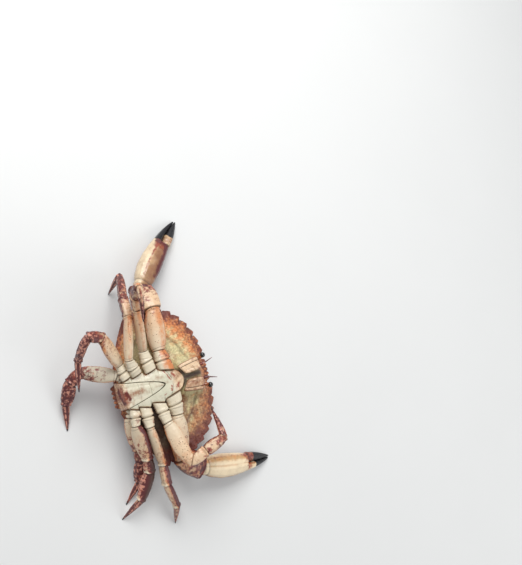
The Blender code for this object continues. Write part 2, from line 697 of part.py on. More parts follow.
def claw(side, places, directions, parent):
    """The hand with its fixed finger, and the movable finger beside it."""
    root = places[3]
    way = directions[3]
    length = LENGTHS[1][3]
    up = np.array([0.0, 0.0, 1.0])
    thick_axis = unit(up - (up @ way) * way)
    toward = np.cross(thick_axis, way)
    # The movable finger lies on the side nearer the mouth
    if side == "right":
        toward = -toward
    normal = unit(directions[2] + way)

    def rings(along, lower, upper, thick, sides=16, power=2.3):
        turn = (np.arange(sides) + 0.5) * 2 * math.pi / sides
        wide = np.sign(np.cos(turn)) * np.abs(np.cos(turn)) ** (2 / power)
        deep = np.sign(np.sin(turn)) * np.abs(np.sin(turn)) ** (2 / power)
        made = []
        for share, low, high, depth in zip(along, lower, upper, thick):
            centre = root + way * length * share + toward * (high - low) / 2
            half = (high + low) / 2
            made.append(centre + (wide * half)[:, None] * toward + (deep * depth / 2)[:, None] * thick_axis)
        return np.array(made)

    lower = CLAW_LOWER + FINGER_LOWER
    upper = CLAW_UPPER + FINGER_UPPER
    hand = rings(CLAW_ALONG + FINGER_ALONG, lower, upper, CLAW_THICK + FINGER_THICK)
    slide = ((places[3] + normal * GAP / 2 - hand[0]) @ normal) / (way @ normal)
    hand[0] += slide[:, None] * way
    points, faces = close_tube(hand)
    solid(f"{side}_cheliped_palm", points, faces, "claw", root, parent)
    thumb = rings(THUMB_ALONG, THUMB_LOWER, THUMB_UPPER, THUMB_THICK, sides=12)
    points, faces = close_tube(thumb)
    solid(f"{side}_cheliped_finger", points, faces, "finger", root + way * length * THUMB_ALONG[0], parent)


def stand_at_origin(body):
    """Move the whole crab so that the middle of its footprint is the origin."""
    bpy.context.view_layer.update()
    corners = []
    for child in body.children:
        if child.display_type == "WIRE":
            continue
        corners += [child.matrix_world @ vertex.co for vertex in child.data.vertices]
    corners = np.array(corners)
    middle = (corners.max(0) + corners.min(0)) / 2
    body.location.x -= middle[0]
    body.location.y -= middle[1]


def main():
    for old in list(bpy.data.objects):
        bpy.data.objects.remove(old)
    body = bpy.data.objects.new("crab", None)
    bpy.context.scene.collection.objects.link(body)
    body.rotation_euler = (0.0, 0.0, math.radians(HEADING))
    shell(body)
    sternum(body)
    abdomen(body)
    for side, sign in (("right", 1.0), ("left", -1.0)):
        mouthpart(f"maxilliped_{side}", sign, body)
        eye(f"eye_{side}", sign, body)
        antenna(f"antenna_{side}", sign, body)
        for pair in LENGTHS:
            limb(side, pair, body)
    stand_at_origin(body)


main()
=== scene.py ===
"""The looks of a life-size rock crab that lies on its back with its limbs spread.

Shapes are worked out in millimetres in the crab's own axes: forward towards its mouth, right
towards its right claw, and up out of its underside. Each piece is then turned and moved to the
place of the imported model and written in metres.
"""

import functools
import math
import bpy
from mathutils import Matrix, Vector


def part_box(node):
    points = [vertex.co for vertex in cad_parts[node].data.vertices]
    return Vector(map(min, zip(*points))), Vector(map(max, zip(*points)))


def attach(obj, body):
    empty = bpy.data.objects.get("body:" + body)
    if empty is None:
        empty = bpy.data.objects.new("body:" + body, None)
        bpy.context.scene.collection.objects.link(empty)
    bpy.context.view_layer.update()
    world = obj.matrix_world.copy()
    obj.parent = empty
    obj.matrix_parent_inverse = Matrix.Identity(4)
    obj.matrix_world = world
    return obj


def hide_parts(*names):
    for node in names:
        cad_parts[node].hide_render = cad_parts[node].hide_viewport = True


bl_info = {
    "name": "Rock Crab",
    "version": (1, 0, 0),
    "blender": (4, 5, 0),
    "location": "3D View > Sidebar > Crab",
    "description": "Builds a detailed rock crab around its packed model",
    "category": "Add Mesh",
}

import bpy
import numpy as np
from bpy.props import FloatProperty, FloatVectorProperty, PointerProperty

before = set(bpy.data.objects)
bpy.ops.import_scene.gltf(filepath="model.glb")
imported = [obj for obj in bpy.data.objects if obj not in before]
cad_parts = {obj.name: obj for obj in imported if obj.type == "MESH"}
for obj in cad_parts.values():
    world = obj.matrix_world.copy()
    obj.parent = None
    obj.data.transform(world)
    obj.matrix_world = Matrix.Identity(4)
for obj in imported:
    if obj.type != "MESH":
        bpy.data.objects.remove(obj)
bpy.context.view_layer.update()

MM = 0.001
HEADING = 15.5
SIDES = {"right": 1.0, "left": -1.0}
UP = np.array([0.0, 0.0, 1.0])

# Shell
SHELL_FRONT = 53.0
SHELL_WIDEST = -14.0
SHELL_REAR = 34.0
SHELL_HALF_WIDTH = 77.0
REAR_EDGE = -45.5
FRONT_POWER = 2.5
REAR_POWER = 1.25
RIM_HEIGHT = 25.0
HUB = np.array([-4.0, 0.0])
DOME_POWER = 2.1
DOME_FLAT = 0.2
BELLY_LIFT = 8.5
MOUTH_LIFT = 10.0
MOUTH_AT = 31.0
MOUTH_LENGTH = 15.0
MOUTH_WIDTH = 21.0
# Corners of a mouth plate, forward and sideways: inner and outer rear, inner and outer front
MOUTH_PLATE_REAR = ((24.6, 2.6), (17.4, 13.6))
MOUTH_PLATE_FRONT = ((41.0, 3.6), (39.5, 17.4))
MOUTH_PLATE_JOINT = 0.6
MOUTH_PLATE_STRIP = 0.72
MOUTH_PLATE_SLOPE = 0.05
MOUTH_PLATE_GRID = (130, 90)
# How much brown each mouth plate gets: mottling, with painted shade that makes the left plate darker
MOUTH_MOTTLE_AND_SHADE = {"right": 0.22, "left": 0.6}
# The grains are smoothed over a slightly longer frame than the raised one
SMOOTH_MOUTH_LENGTH = 17.0
SIDE_TEETH = 10
TOOTH_HEIGHT = 3.8
TOOTH_PEAK = 0.26
TOOTH_FALL = 0.62
TOOTH_NOTCH = 0.14
FRONT_TEETH = 5
FRONT_TOOTH_HEIGHT = 2.0
ORBIT_IN = 11.0
ORBIT_OUT = 17.0
ORBIT_DEPTH = 3.6
LAST_TOOTH_BEYOND = 4.0
# A side tooth's height as shares of the full one: at the first tooth, and how much the last adds
TOOTH_GROWTH = (0.75, 0.45)
# Share of the way inwards over which the teeth fade out of the rings
TOOTH_FADE = 0.022
MARGIN_POINTS = 400
SHELL_COLUMNS = 650
BACK_ROWS = 44
UNDER_ROWS = 104
RING_CROWDING = 1.25
INNERMOST_RING = 0.995

# Underside
# Half the sternum's breadth at places along the body, with a step between the limbs' roots
STERNUM_EDGE = (
    (-38.4, 13.5), (-37.7, 13.5), (-30.9, 16.5), (-29.5, 14.2), (-18.6, 17.9),
    (-16.2, 14.0), (-4.2, 17.4), (-2.2, 14.6), (13.8, 10.6), (17.3, 8.2),
    (19.4, 5.2), (20.6, 2.0),
)
STERNUM_TOP = 50.0
STERNUM_SUTURES = (-30.2, -17.4, -3.2)
STERNUM_GRID = (304, 160)
# Red-brown streaks: start and end of each, forward and sideways, and its width
STERNUM_STREAKS = (
    ((1.5, 13.2), (6.9, 2.4), 0.8), ((6.2, -3.4), (5.2, -7.6), 1.3), ((9.4, 8.4), (11.4, 5.0), 1.7),
    ((13.6, -3.6), (12.4, -6.0), 1.5), ((-1.0, -9.6), (-3.0, -10.4), 0.8))
ABDOMEN_TIP = 0.4
ABDOMEN_BASE = -41.0
ABDOMEN_HALF_WIDTH = 12.2
ABDOMEN_TAPER = 0.65
ABDOMEN_BEND_AT = -38.2
ABDOMEN_THICK = 2.4
BED_MARGIN = 0.6
ABDOMEN_CROWN = 0.45
ABDOMEN_BEND = 2.2
ABDOMEN_TURN = 80.0
ABDOMEN_LENGTH = 43.5
TELSON_AT = -15.0
TELSON_ROUND_FROM = 8.0
TELSON_ROUND_OVER = 6.4
SEGMENT_EDGES = (11.0, 26.0, 33.0, 39.0)
SEGMENT_DEPTHS = (0.25, 0.8, 1.0, 1.0)
SEGMENT_CRESTS = (29.5, 36.0, 41.5)
ABDOMEN_GRID = (210, 84)
TELSON_GRID = (80, 60)
EYE_RADIUS = 2.8
EYE_NECK = 2.9
EYE_NECK_RADIUS = 1.9
# Roots of the eyes and feelers, forward and sideways, and the ways that they point
EYE_ROOT = (44.0, 13.8)
EYE_WAY = (0.72, 0.42, 0.35)
FEELER_ROOT = (45.5, 7.2)
FEELER_WAY = (0.92, 0.3, 0.1)
EYE_BLACK = (0.006, 0.005, 0.005, 1.0)
FEELER_LENGTH = 14.0
FEELER_STOPS = (0, 2, 4, 4.7, 7.5, 10.5, 14)
FEELER_RADII = (1.6, 1.5, 1.3, 0.8, 0.62, 0.46, 0.3)
SEAT_GAP = 0.5
GAP = 0.3

# Limbs, numbered from the claw-bearing pair to the last pair
ROOT_FORWARD = {1: 6.0, 2: -10.0, 3: -24.0, 4: -34.6, 5: -35.6}
ROOT_RIGHT = {1: 12.9, 2: 16.1, 3: 16.4, 4: 15.4, 5: 15.0}
ROOT_HEIGHT = {1: 44.0, 2: 46.0, 3: 46.0, 4: 46.5, 5: 36.5}
# How far the inner end of each base turns from the body's line
ROOT_SLANT = {1: -14.0, 2: 16.0, 3: 19.0, 4: 20.0, 5: 20.0}
LENGTHS = {
    1: (20.0, 42.0, 29.0, 96.0),
    2: (21.0, 43.0, 16.0, 22.0, 34.0),
    3: (19.0, 42.0, 21.0, 30.0, 29.0),
    4: (15.0, 39.0, 15.0, 30.0, 30.0),
    5: (8.0, 36.0, 13.5, 24.0, 26.0),
}
# Breadth in the plane that the limb bends in, and thickness across it, per article
BREADTHS = {
    1: (15.5, 18.5, 24.5),
    2: (11.6, 15.0, 11.5, 11.5, 7.0),
    3: (11.0, 15.0, 11.5, 11.0, 7.0),
    4: (9.2, 14.5, 11.0, 11.5, 6.6),
    5: (7.5, 14.5, 12.0, 13.0, 6.6),
}
THICKNESSES = {
    1: (14.5, 15.0, 19.5),
    2: (10.5, 8.5, 9.0, 8.0, 5.4),
    3: (10.5, 8.5, 9.0, 8.0, 5.4),
    4: (8.8, 8.5, 8.5, 7.6, 5.2),
    5: (6.6, 8.5, 8.0, 7.6, 5.2),
}
# Heading and rise of each article from its root outwards. A rise of None lets the article
# down until its tip lies on the floor.
POSE = {
    ("right", 1): ((94, -6), (83, -2), (95, -35), (47, None)),
    ("left", 1): ((-91, -6), (-98, -2), (-44, -26), (-16, None)),
    ("right", 2): ((96, 3), (89, 20), (95, 42), (98, 78), (-89, -28)),
    ("left", 2): ((-83, 11), (-76, 16), (18, 8), (18, 0), (85, -35)),
    ("right", 3): ((110, 28), (75, -4), (84, -25), (75, -37), (-127, None)),
    ("left", 3): ((-93, 7), (-82, -16), (-90, -14), (-76, -22), (-93, None)),
    ("right", 4): ((101, -4), (115, 33), (168, 31), (-121, -46), (-99, -19)),
    ("left", 4): ((-101, 5), (-81, -21), (-88, -28), (-119, -16), (-141, None)),
    ("right", 5): ((137, 18), (157, -24), (-143, -27), (-112, -26), (-98, None)),
    ("left", 5): ((-116, 8), (-85, -19), (-84, -29), (-104, -24), (-132, None)),
}
TIP_REST = 0.35
CLAW_TIP_REST = 0.3
HINGE_LEAN = {
    ("right", 1): 0, ("left", 1): 0,
    ("right", 2): 90, ("left", 2): 12,
    ("right", 3): 90, ("left", 3): 90,
    ("right", 4): 35, ("left", 4): 30,
    ("right", 5): 10, ("left", 5): 15,
}
ARTICLES = ("base", "merus", "carpus", "propodus", "dactyl")
BREADTH_SHAPES = {
    "base": (1.0, 1.0, 0.9, 0.97, 0.86, 0.72),
    "merus": (0.62, 0.86, 0.98, 1.0, 0.97, 0.84, 0.7),
    "carpus": (0.72, 0.9, 1.0, 1.0, 0.92),
    "propodus": (0.8, 0.97, 1.0, 0.95, 0.84, 0.66),
    "dactyl": (1.0, 0.94, 0.82, 0.68, 0.5, 0.3, 0.13),
}
THICKNESS_SHAPES = {
    "base": (1.0, 1.0, 0.92, 0.98, 0.9, 0.78),
    "merus": (0.86, 0.98, 1.0, 1.0, 1.0, 0.95, 0.85),
    "carpus": (0.8, 0.95, 1.0, 1.0, 0.9),
    "propodus": (0.86, 1.0, 1.0, 0.97, 0.88, 0.76),
    "dactyl": (1.0, 0.94, 0.84, 0.7, 0.52, 0.34, 0.16),
}
LIMB_RIDGES = {
    "merus": (0.0, math.pi, 2 * math.pi),
    "carpus": (0.7, 2.5, 3.9, 5.5),
    "propodus": (0.0, 0.9, 2.2, math.pi, 4.1, 5.4, 2 * math.pi),
}
# Over this length from an article's ends its relief fades out
CALM_END = 0.8
RINGS_PER_MM = 2.6
LEG_SIDES = 60
CLAW_LIMB_SIDES = 72
ROUND_POWER = 2.2
BOXY_POWER = 2.6
HAND_POWER = 2.3
# Two articles turn towards each other from this bend on, in degrees, and by at most this share
FOLD_FROM = 45
FOLD_OVER = 85
FOLD_SHARE = 0.55
# Where the dark side of the two turned legs faces
DARK_WAYS = {("left", 3): (0.9, 0.0, 0.1), ("left", 4): (0.9, 0.0, 0.6)}
# How dark red each limb is where its merus starts and ends, and on the articles beyond it
DARKNESS = {
    ("right", 1): (0.0, 0.1, 0.58), ("left", 1): (0.0, 0.3, 0.66),
    ("right", 2): (0.0, 0.12, 0.2, 0.22, 0.95), ("left", 2): (0.0, 0.1, 0.32, 0.5, 0.78),
    ("right", 3): (0.02, 0.12, 0.5, 0.8, 0.78), ("left", 3): (0.0, 0.22, 0.3, 0.42, 0.72),
    ("right", 4): (0.08, 0.34, 0.92, 0.92, 0.76), ("left", 4): (0.05, 0.42, 0.66, 0.6, 0.8),
    ("right", 5): (0.04, 0.56, 0.78, 0.84, 0.8), ("left", 5): (0.1, 0.45, 0.8, 0.8, 0.75),
}

# Claw outline, as shares of its length: how far its edges stand off the line to the tip
CLAW_ALONG = (0.0, 0.06, 0.14, 0.27, 0.42, 0.56, 0.62)
CLAW_LOWER = (7.0, 9.0, 11.8, 14.2, 14.0, 12.2, 11.0)
CLAW_UPPER = (6.4, 7.8, 9.5, 10.4, 9.8, 8.5, 8.0)
CLAW_THICK = (13.0, 16.0, 19.5, 22.0, 20.5, 17.0, 15.5)
FINGER_ALONG = (0.625, 0.64, 0.73, 0.82, 0.91, 0.97)
FINGER_LOWER = (10.9, 10.6, 8.9, 6.6, 3.6, 0.7)
FINGER_UPPER = (-1.8, -2.2, -2.4, -1.8, -0.5, 0.9)
FINGER_THICK = (12.4, 11.8, 9.6, 7.4, 4.8, 2.2)
THUMB_ALONG = (0.63, 0.67, 0.74, 0.83, 0.91, 0.98)
THUMB_LOWER = (0.8, 1.0, 1.2, 0.7, -0.4, -1.5)
THUMB_UPPER = (7.7, 8.6, 8.3, 6.9, 4.9, 2.7)
THUMB_THICK = (11.5, 11.5, 9.6, 7.2, 4.6, 2.0)
HAND_GRID = (260, 96)
THUMB_GRID = (130, 64)
PALM_KEELS = (0.75, 1.25, 1.75, 2.3)
THUMB_RIBS = (0.6, 1.4, 4.9, 5.7)
# Where a movable finger turns black, and how orange, red and dark its base is
THUMB_LOOKS = {"right": (0.745, 0.5, 0.3, 0.3), "left": (0.70, 0.8, 0.75, 0.5)}

# Camera, fitted to the photograph's perspective
PICTURE_WIDTH = 522
PICTURE_HEIGHT = 565
FOCAL_PIXELS = 600.0
AIM_PIXEL = (160.0, 380.0)
AIM_POINT = (-1.10, 3.95, 35.0)
AIM_DISTANCE = 600.0
AIM_TILT = 16.0
SENSOR_HEIGHT = 24.0
FLOOR_REACH = 4.0
SKY_COLOUR = (0.93, 0.96, 1.0, 1.0)
SKY_STRENGTH = 0.45
# Each light's name, place and breadth
LIGHTS = (("key", (-0.25, 0.85, 1.0), 0.8), ("fill", (0.9, -0.5, 0.8), 1.0))


def srgb(red, green, blue):
    """A colour as a screen shows it, 0 to 255, turned to the linear values that shaders take."""
    shares = np.array([red, green, blue]) / 255
    low = shares / 12.92
    high = ((shares + 0.055) / 1.055) ** 2.4
    return tuple(float(value) for value in np.where(shares <= 0.04045, low, high))


def unit(vectors):
    """The vectors at length one."""
    vectors = np.asarray(vectors, dtype=float)
    return vectors / np.linalg.norm(vectors, axis=-1, keepdims=True)


def aim(heading, rise):
    """The direction with a compass heading from forward towards right, and a rise."""
    h = math.radians(heading)
    r = math.radians(rise)
    return np.array([math.cos(h) * math.cos(r), math.sin(h) * math.cos(r), math.sin(r)])


def step(low, high, values):
    """A smooth rise from 0 at low to 1 at high."""
    share = np.clip((values - low) / (high - low), 0, 1)
    return share * share * (3 - 2 * share)


def bell(distance, width):
    """A bump of height 1 at distance 0 that falls to about a third at one width."""
    return np.exp(-(distance / width) ** 2)


def cubic(t, start, leave, end, arrive):
    """A cubic from start at t = 0 to end at t = 1, with a slope at each end."""
    return ((2 * t**3 - 3 * t**2 + 1) * start + (t**3 - 2 * t**2 + t) * leave
            + (3 * t**2 - 2 * t**3) * end + (t**3 - t**2) * arrive)


def run(values, shares):
    """A smooth curve through evenly spaced values, read at shares from 0 to 1."""
    values = np.asarray(values, dtype=float)
    slopes = np.gradient(values)
    place = np.clip(np.asarray(shares) * (len(values) - 1), 0, len(values) - 1)
    left = np.minimum(place.astype(int), len(values) - 2)
    return cubic(place - left, values[left], slopes[left], values[left + 1], slopes[left + 1])


def chance(cells, seed):
    """A repeatable number from 0 to 1 for each whole-number cell: the fraction of a large sine."""
    mixed = cells @ np.array([12.9898, 78.233, 37.719]) + seed * 17.17
    return np.modf(np.abs(np.sin(mixed) * 43758.5453))[0]


def waves(points, size, seed=0):
    """Smooth noise from -1 to 1: corner values of a lattice, blended across each cell."""
    place = points / size
    cell = np.floor(place)
    part = place - cell
    part = part * part * (3 - 2 * part)
    total = np.zeros(points.shape[:-1])
    for corner in np.ndindex(2, 2, 2):
        side = np.array(corner)
        weight = np.prod(np.where(side, part, 1 - part), axis=-1)
        total += weight * chance(cell + side, seed)
    return total * 2 - 1


def grains(points, size, seed=0):
    """Rounded grains from 0 to 1: one minus the squared distance to the nearest scattered centre."""
    place = points / size
    cell = np.floor(place)
    nearest = np.full(points.shape[:-1], 9.0)
    for offset in np.ndindex(3, 3, 3):
        at = cell + np.array(offset) - 1
        shift = np.stack([chance(at, seed + k) for k in (1, 2, 3)], axis=-1) - 0.5
        centre = at + 0.5 + 0.62 * shift
        nearest = np.minimum(nearest, ((place - centre) ** 2).sum(-1))
    return np.clip(1 - nearest * 2.6, 0, 1)


def grid_normals(rings, wrap):
    """Outward directions on a grid: the cross product of its two runs, away from its middle."""
    down = np.gradient(rings, axis=0)
    if wrap:
        across = np.roll(rings, -1, axis=1) - np.roll(rings, 1, axis=1)
    else:
        across = np.gradient(rings, axis=1)
    normals = np.cross(down, across)
    normals /= np.maximum(np.linalg.norm(normals, axis=-1, keepdims=True), 1e-9)
    away = rings - rings.mean(axis=1, keepdims=True)
    return normals * np.sign((normals * away).sum() + 1e-12)


def spots(*axes):
    """Points from three arrays of coordinates that broadcast together."""
    return np.stack(np.broadcast_arrays(*axes), axis=-1)


def headed(forward, right):
    """Places forward and to the right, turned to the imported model's two level axes."""
    turn = math.radians(HEADING)
    return (forward * math.cos(turn) - right * math.sin(turn),
            forward * math.sin(turn) + right * math.cos(turn))


def to_frame(points):
    """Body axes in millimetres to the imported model's place in metres."""
    x, y = headed(points[:, 0], points[:, 1])
    return np.stack([x, y, points[:, 2]], axis=1) * MM + BODY_PLACE


def sternum_half(forward):
    """Half the sternum's breadth: straight lines between the places of its stepped outline."""
    places, halves = zip(*STERNUM_EDGE)
    return np.interp(forward, places, halves)


def body_place():
    """Where the body's origin lies: the sternum's outline set in the middle of its packed box."""
    forward, half = np.array(STERNUM_EDGE).T
    level = headed(np.tile(forward, 2), np.concatenate([half, -half]))
    low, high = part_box("sternum")
    middle = [(low[i] + high[i]) / 2 - MM * (level[i].min() + level[i].max()) / 2 for i in (0, 1)]
    return np.array(middle + [0.0])


BODY_PLACE = body_place()


def tone(name, description, red, green, blue):
    """A colour setting whose default is given as a screen shows it."""
    return FloatVectorProperty(
        name=name, description=description, subtype="COLOR", size=3, default=srgb(red, green, blue))


def measure(name, description, default, low=0.0):
    """A length setting in millimetres."""
    return FloatProperty(name=name, description=f"{description}, in millimetres", default=default, min=low)


def power(name, description, default):
    """A light's power in watts."""
    return FloatProperty(name=name, description=description, default=default, unit="POWER")


class RockCrabSettings(bpy.types.PropertyGroup):
    """Sizes and colours of the crab's surfaces, and the stage."""
    grain_size: measure("Grain size", "Width of the shell's grains", 1.7, 0.4)
    grain_height: measure("Grain height", "How far a grain stands up", 0.5)
    suture_depth: measure("Suture depth", "Depth of the seams between plates", 0.9)
    suture_width: measure("Suture width", "Width of the seams between plates", 0.55)
    ridge_height: measure("Ridge height", "Height of the ridges on limbs and claws", 0.45)
    cream: tone("Cream", "Pale underside", 230, 209, 174)
    porcelain: tone("Porcelain", "Breastplate", 221, 212, 188)
    blush: tone("Blush", "Orange edges", 208, 128, 72)
    maroon: tone("Maroon", "Dark red limbs", 90, 35, 36)
    blotch: tone("Blotch", "Pale patches on dark red", 208, 142, 120)
    # Also the colour of painted shade in the shell's grain valleys and gaps and round the abdomen
    seam: tone("Seam", "Seams and creases", 72, 53, 42)
    horn: tone("Horn", "Black of the fingers", 25, 23, 26)
    rim: tone("Rim", "Shell's edge", 134, 64, 44)
    olive: tone("Olive", "Inner part of the shell's underside", 226, 214, 160)
    umber: tone("Umber", "Brown of shaded and mottled places", 128, 86, 60)
    back: tone("Back", "Shell's back", 128, 44, 34)
    sage: tone("Sage", "Greenish clouds on the breastplate", 206, 206, 180)
    floor: tone("Floor", "Studio floor", 226, 226, 224)
    key_power: power("Key light", "Power of the main light", 15.5)
    fill_power: power("Fill light", "Power of the side light", 5.0)


# Shader groups

class Wires:
    """A node tree with short calls to add nodes and link them."""

    def __init__(self, tree):
        self.tree = tree
        self.column = 0

    def add(self, kind, inputs=(), **values):
        """A new node with its properties set and its inputs fed."""
        node = self.tree.nodes.new(kind)
        node.location = (self.column * 190, 0)
        self.column += 1
        for name, value in values.items():
            setattr(node, name, value)
        for name, value in dict(inputs).items():
            self.feed(node.inputs[name], value)
        return node

    def feed(self, socket, value):
        """Links another node's output to a socket, or sets a plain value on it."""
        if isinstance(value, bpy.types.NodeSocket):
            self.tree.links.new(value, socket)
        else:
            socket.default_value = value

    def mix(self, factor, first, second):
        """A colour between two by a factor from 0 to 1."""
        node = self.add("ShaderNodeMix", {0: factor}, data_type="RGBA")
        self.feed(node.inputs[6], first)
        self.feed(node.inputs[7], second)
        return node.outputs[2]

    def math(self, operation, first, second):
        """One arithmetic step."""
        return self.add("ShaderNodeMath", {0: first, 1: second}, operation=operation).outputs[0]

    def noise(self, scale, detail, vector):
        """Soft noise from 0 to 1 at a place times a scale."""
        inputs = {"Scale": scale, "Detail": detail, "Roughness": 0.6, "Vector": vector}
        return self.add("ShaderNodeTexNoise", inputs).outputs[0]

    def ramp(self, value, low, high, start=0.0, end=1.0, curve="LINEAR"):
        """A value carried from one range to another, from start at low to end at high."""
        inputs = {0: value, 1: low, 2: high, 3: start, 4: end}
        return self.add("ShaderNodeMapRange", inputs, interpolation_type=curve).outputs[0]

    def attribute(self, name):
        """A mask that the mesh carries, 0 where it carries none."""
        return self.add("ShaderNodeAttribute", attribute_name=name).outputs["Fac"]

    def group(self, tree, **inputs):
        """A shader group placed with its own values."""
        inputs = {name.capitalize(): value for name, value in inputs.items()}
        return self.add("ShaderNodeGroup", inputs, node_tree=tree).outputs[0]


def new_group(name, output, size, **sockets):
    """An empty shader group: its wires, its named inputs and the socket that takes its result. A
    socket of four values is a colour, one of three a place, and a single value a number."""
    kinds = {4: "NodeSocketColor", 3: "NodeSocketVector", 1: "NodeSocketFloat"}
    tree = bpy.data.node_groups.new(name, "ShaderNodeTree")
    for socket, default in sockets.items():
        kind = kinds[len(default) if isinstance(default, tuple) else 1]
        made = tree.interface.new_socket(socket.capitalize(), in_out="INPUT", socket_type=kind)
        made.default_value = default
    tree.interface.new_socket(output, in_out="OUTPUT", socket_type=kinds[size])
    wires = Wires(tree)
    return wires, wires.add("NodeGroupInput").outputs, wires.add("NodeGroupOutput").inputs[0]


@functools.cache
def stain_group():
    """A tint laid over a base where a mask is high, with an edge broken up by noise."""
    wires, given, result = new_group(
        "Ragged stain", "Colour", 4, vector=(0, 0, 0), base=(1, 1, 1, 1), tint=(1, 0, 0, 1),
        mask=0.5, scale=400.0, ragged=0.6, soft=0.15)
    noise = wires.noise(given["Scale"], 4.0, given["Vector"])
    reach = wires.math("MULTIPLY", given["Ragged"], 3.0)
    swing = wires.math("MULTIPLY", wires.math("SUBTRACT", noise, 0.5), reach)
    level = wires.math("ADD", given["Mask"], swing)
    low, high = (wires.math(way, 0.5, given["Soft"]) for way in ("SUBTRACT", "ADD"))
    ramp = wires.ramp(level, low, high, curve="SMOOTHSTEP")
    present = wires.math("GREATER_THAN", given["Mask"], 0.004)
    factor = wires.math("MULTIPLY", ramp, present)
    wires.feed(result, wires.mix(factor, given["Base"], given["Tint"]))
    return wires.tree


@functools.cache
def dots_group():
    """Small round dots of a tint, thinned by a mask: scattered cells cut at a small radius."""
    wires, given, result = new_group(
        "Fine dots", "Colour", 4, vector=(0, 0, 0), base=(1, 1, 1, 1), tint=(0, 0, 0, 1),
        mask=0.5, scale=700.0)
    cells = wires.add("ShaderNodeTexVoronoi", {"Vector": given["Vector"], "Scale": given["Scale"]})
    dot = wires.ramp(cells.outputs["Distance"], 0.34, 0.16)
    patches = wires.noise(wires.math("MULTIPLY", given["Scale"], 0.31), 2.0, given["Vector"])
    factor = wires.math("MULTIPLY", dot, wires.math("LESS_THAN", patches, given["Mask"]))
    wires.feed(result, wires.mix(factor, given["Base"], given["Tint"]))
    return wires.tree


@functools.cache
def pores_group():
    """Height of fine pits and pimples: cell distances with a little noise."""
    wires, given, result = new_group("Pores", "Height", 1, vector=(0, 0, 0), scale=900.0, roughness=0.4)
    inputs = {"Vector": given["Vector"], "Scale": given["Scale"]}
    cells = wires.add("ShaderNodeTexVoronoi", inputs, feature="SMOOTH_F1")
    noise = wires.noise(wires.math("MULTIPLY", given["Scale"], 0.5), 4.0, given["Vector"])
    rough = wires.math("MULTIPLY", noise, given["Roughness"])
    wires.feed(result, wires.math("SUBTRACT", rough, cells.outputs["Distance"]))
    return wires.tree


class Finish(Wires):
    """A material whose colour is laid on in layers."""

    def __init__(self, name):
        self.material = bpy.data.materials.new(name)
        self.material.use_nodes = True
        super().__init__(self.material.node_tree)
        self.shader = self.tree.nodes["Principled BSDF"].inputs
        self.place = self.add("ShaderNodeTexCoord").outputs["Object"]
        self.colour = None

    def tone(self, name, gain=1.0):
        """A colour setting with its alpha, brightened or darkened by a gain."""
        colour = getattr(bpy.context.scene.rock_crab, name)
        return (*(min(channel * gain, 1.0) for channel in colour), 1.0)

    def clouded(self, scale, detail, first, second, share=None):
        """Two colours mixed by soft noise, or by a share of it."""
        noise = self.noise(scale, detail, self.place)
        if share is not None:
            noise = self.math("MULTIPLY", noise, share)
        return self.mix(noise, first, second)

    def lay(self, group, mask, tint, scale, **edge):
        """Lays a tint by a group where a mask is high: a piece's own mask by its name, or a value."""
        mask = self.attribute(mask) if isinstance(mask, str) else mask
        self.colour = self.group(
            group(), vector=self.place, base=self.colour, tint=tint, mask=mask, scale=scale, **edge)

    def stain(self, mask, tint, scale, ragged, soft):
        """A tint with a ragged edge where a mask is high."""
        self.lay(stain_group, mask, tint, scale, ragged=ragged, soft=soft)

    def cover(self, mask, tint):
        """Mixes a tint in by a mask, with no ragged edge."""
        mask = self.attribute(mask) if isinstance(mask, str) else mask
        self.colour = self.mix(mask, self.colour, tint)

    def done(self, roughness, pores, bump, coat):
        """Feeds the shader its colour, an uneven roughness, a thin coat and a fine bump."""
        noise = self.noise(260.0, 3.0, self.place)
        height = self.group(pores_group(), vector=self.place, scale=pores)
        normal = self.add("ShaderNodeBump", {"Strength": bump, "Distance": 0.0006, "Height": height})
        values = {
            "Base Color": self.colour, "Coat Weight": coat, "Coat Roughness": 0.22,
            "Roughness": self.ramp(noise, 0.3, 0.7, roughness - 0.1, roughness + 0.12),
            "Normal": normal.outputs[0]}
        for name, value in values.items():
            self.feed(self.shader[name], value)
        return self.material


@functools.cache
def limb_skin():
    """Cream with orange edges that turns to mottled dark red towards the tip."""
    skin = Finish("limb skin")
    tone = skin.tone
    dark = skin.attribute("dark")
    tan = skin.mix(0.3, tone("cream", 0.9), tone("blush", 1.25))
    warm = skin.clouded(90.0, 2.0, tone("cream", 1.04), tan)
    skin.colour = skin.clouded(420.0, 3.0, warm, tone("umber", 1.9), 0.36)
    skin.cover("fresh", tone("porcelain", 0.96))
    edge = skin.clouded(120.0, 2.0, tone("blush", 1.2), tone("umber", 1.5), 0.6)
    skin.stain("blush", edge, 170.0, 0.4, 0.42)
    skin.lay(dots_group, "dots", tone("umber", 0.8), 600.0)
    red = skin.clouded(200.0, 2.0, tone("rim", 1.5), tone("maroon", 1.5))
    skin.stain(skin.math("ADD", dark, 0.06), red, 240.0, 0.65, 0.2)
    skin.stain(skin.math("SUBTRACT", dark, 0.08), tone("maroon"), 190.0, 0.6, 0.14)
    skin.stain(skin.math("MULTIPLY", skin.attribute("pale"), dark), tone("blotch"), 340.0, 0.75, 0.14)
    skin.stain("horn", tone("horn"), 500.0, 0.1, 0.2)
    skin.cover("seam", tone("seam"))
    return skin.done(0.4, 1000.0, 0.28, 0.25)


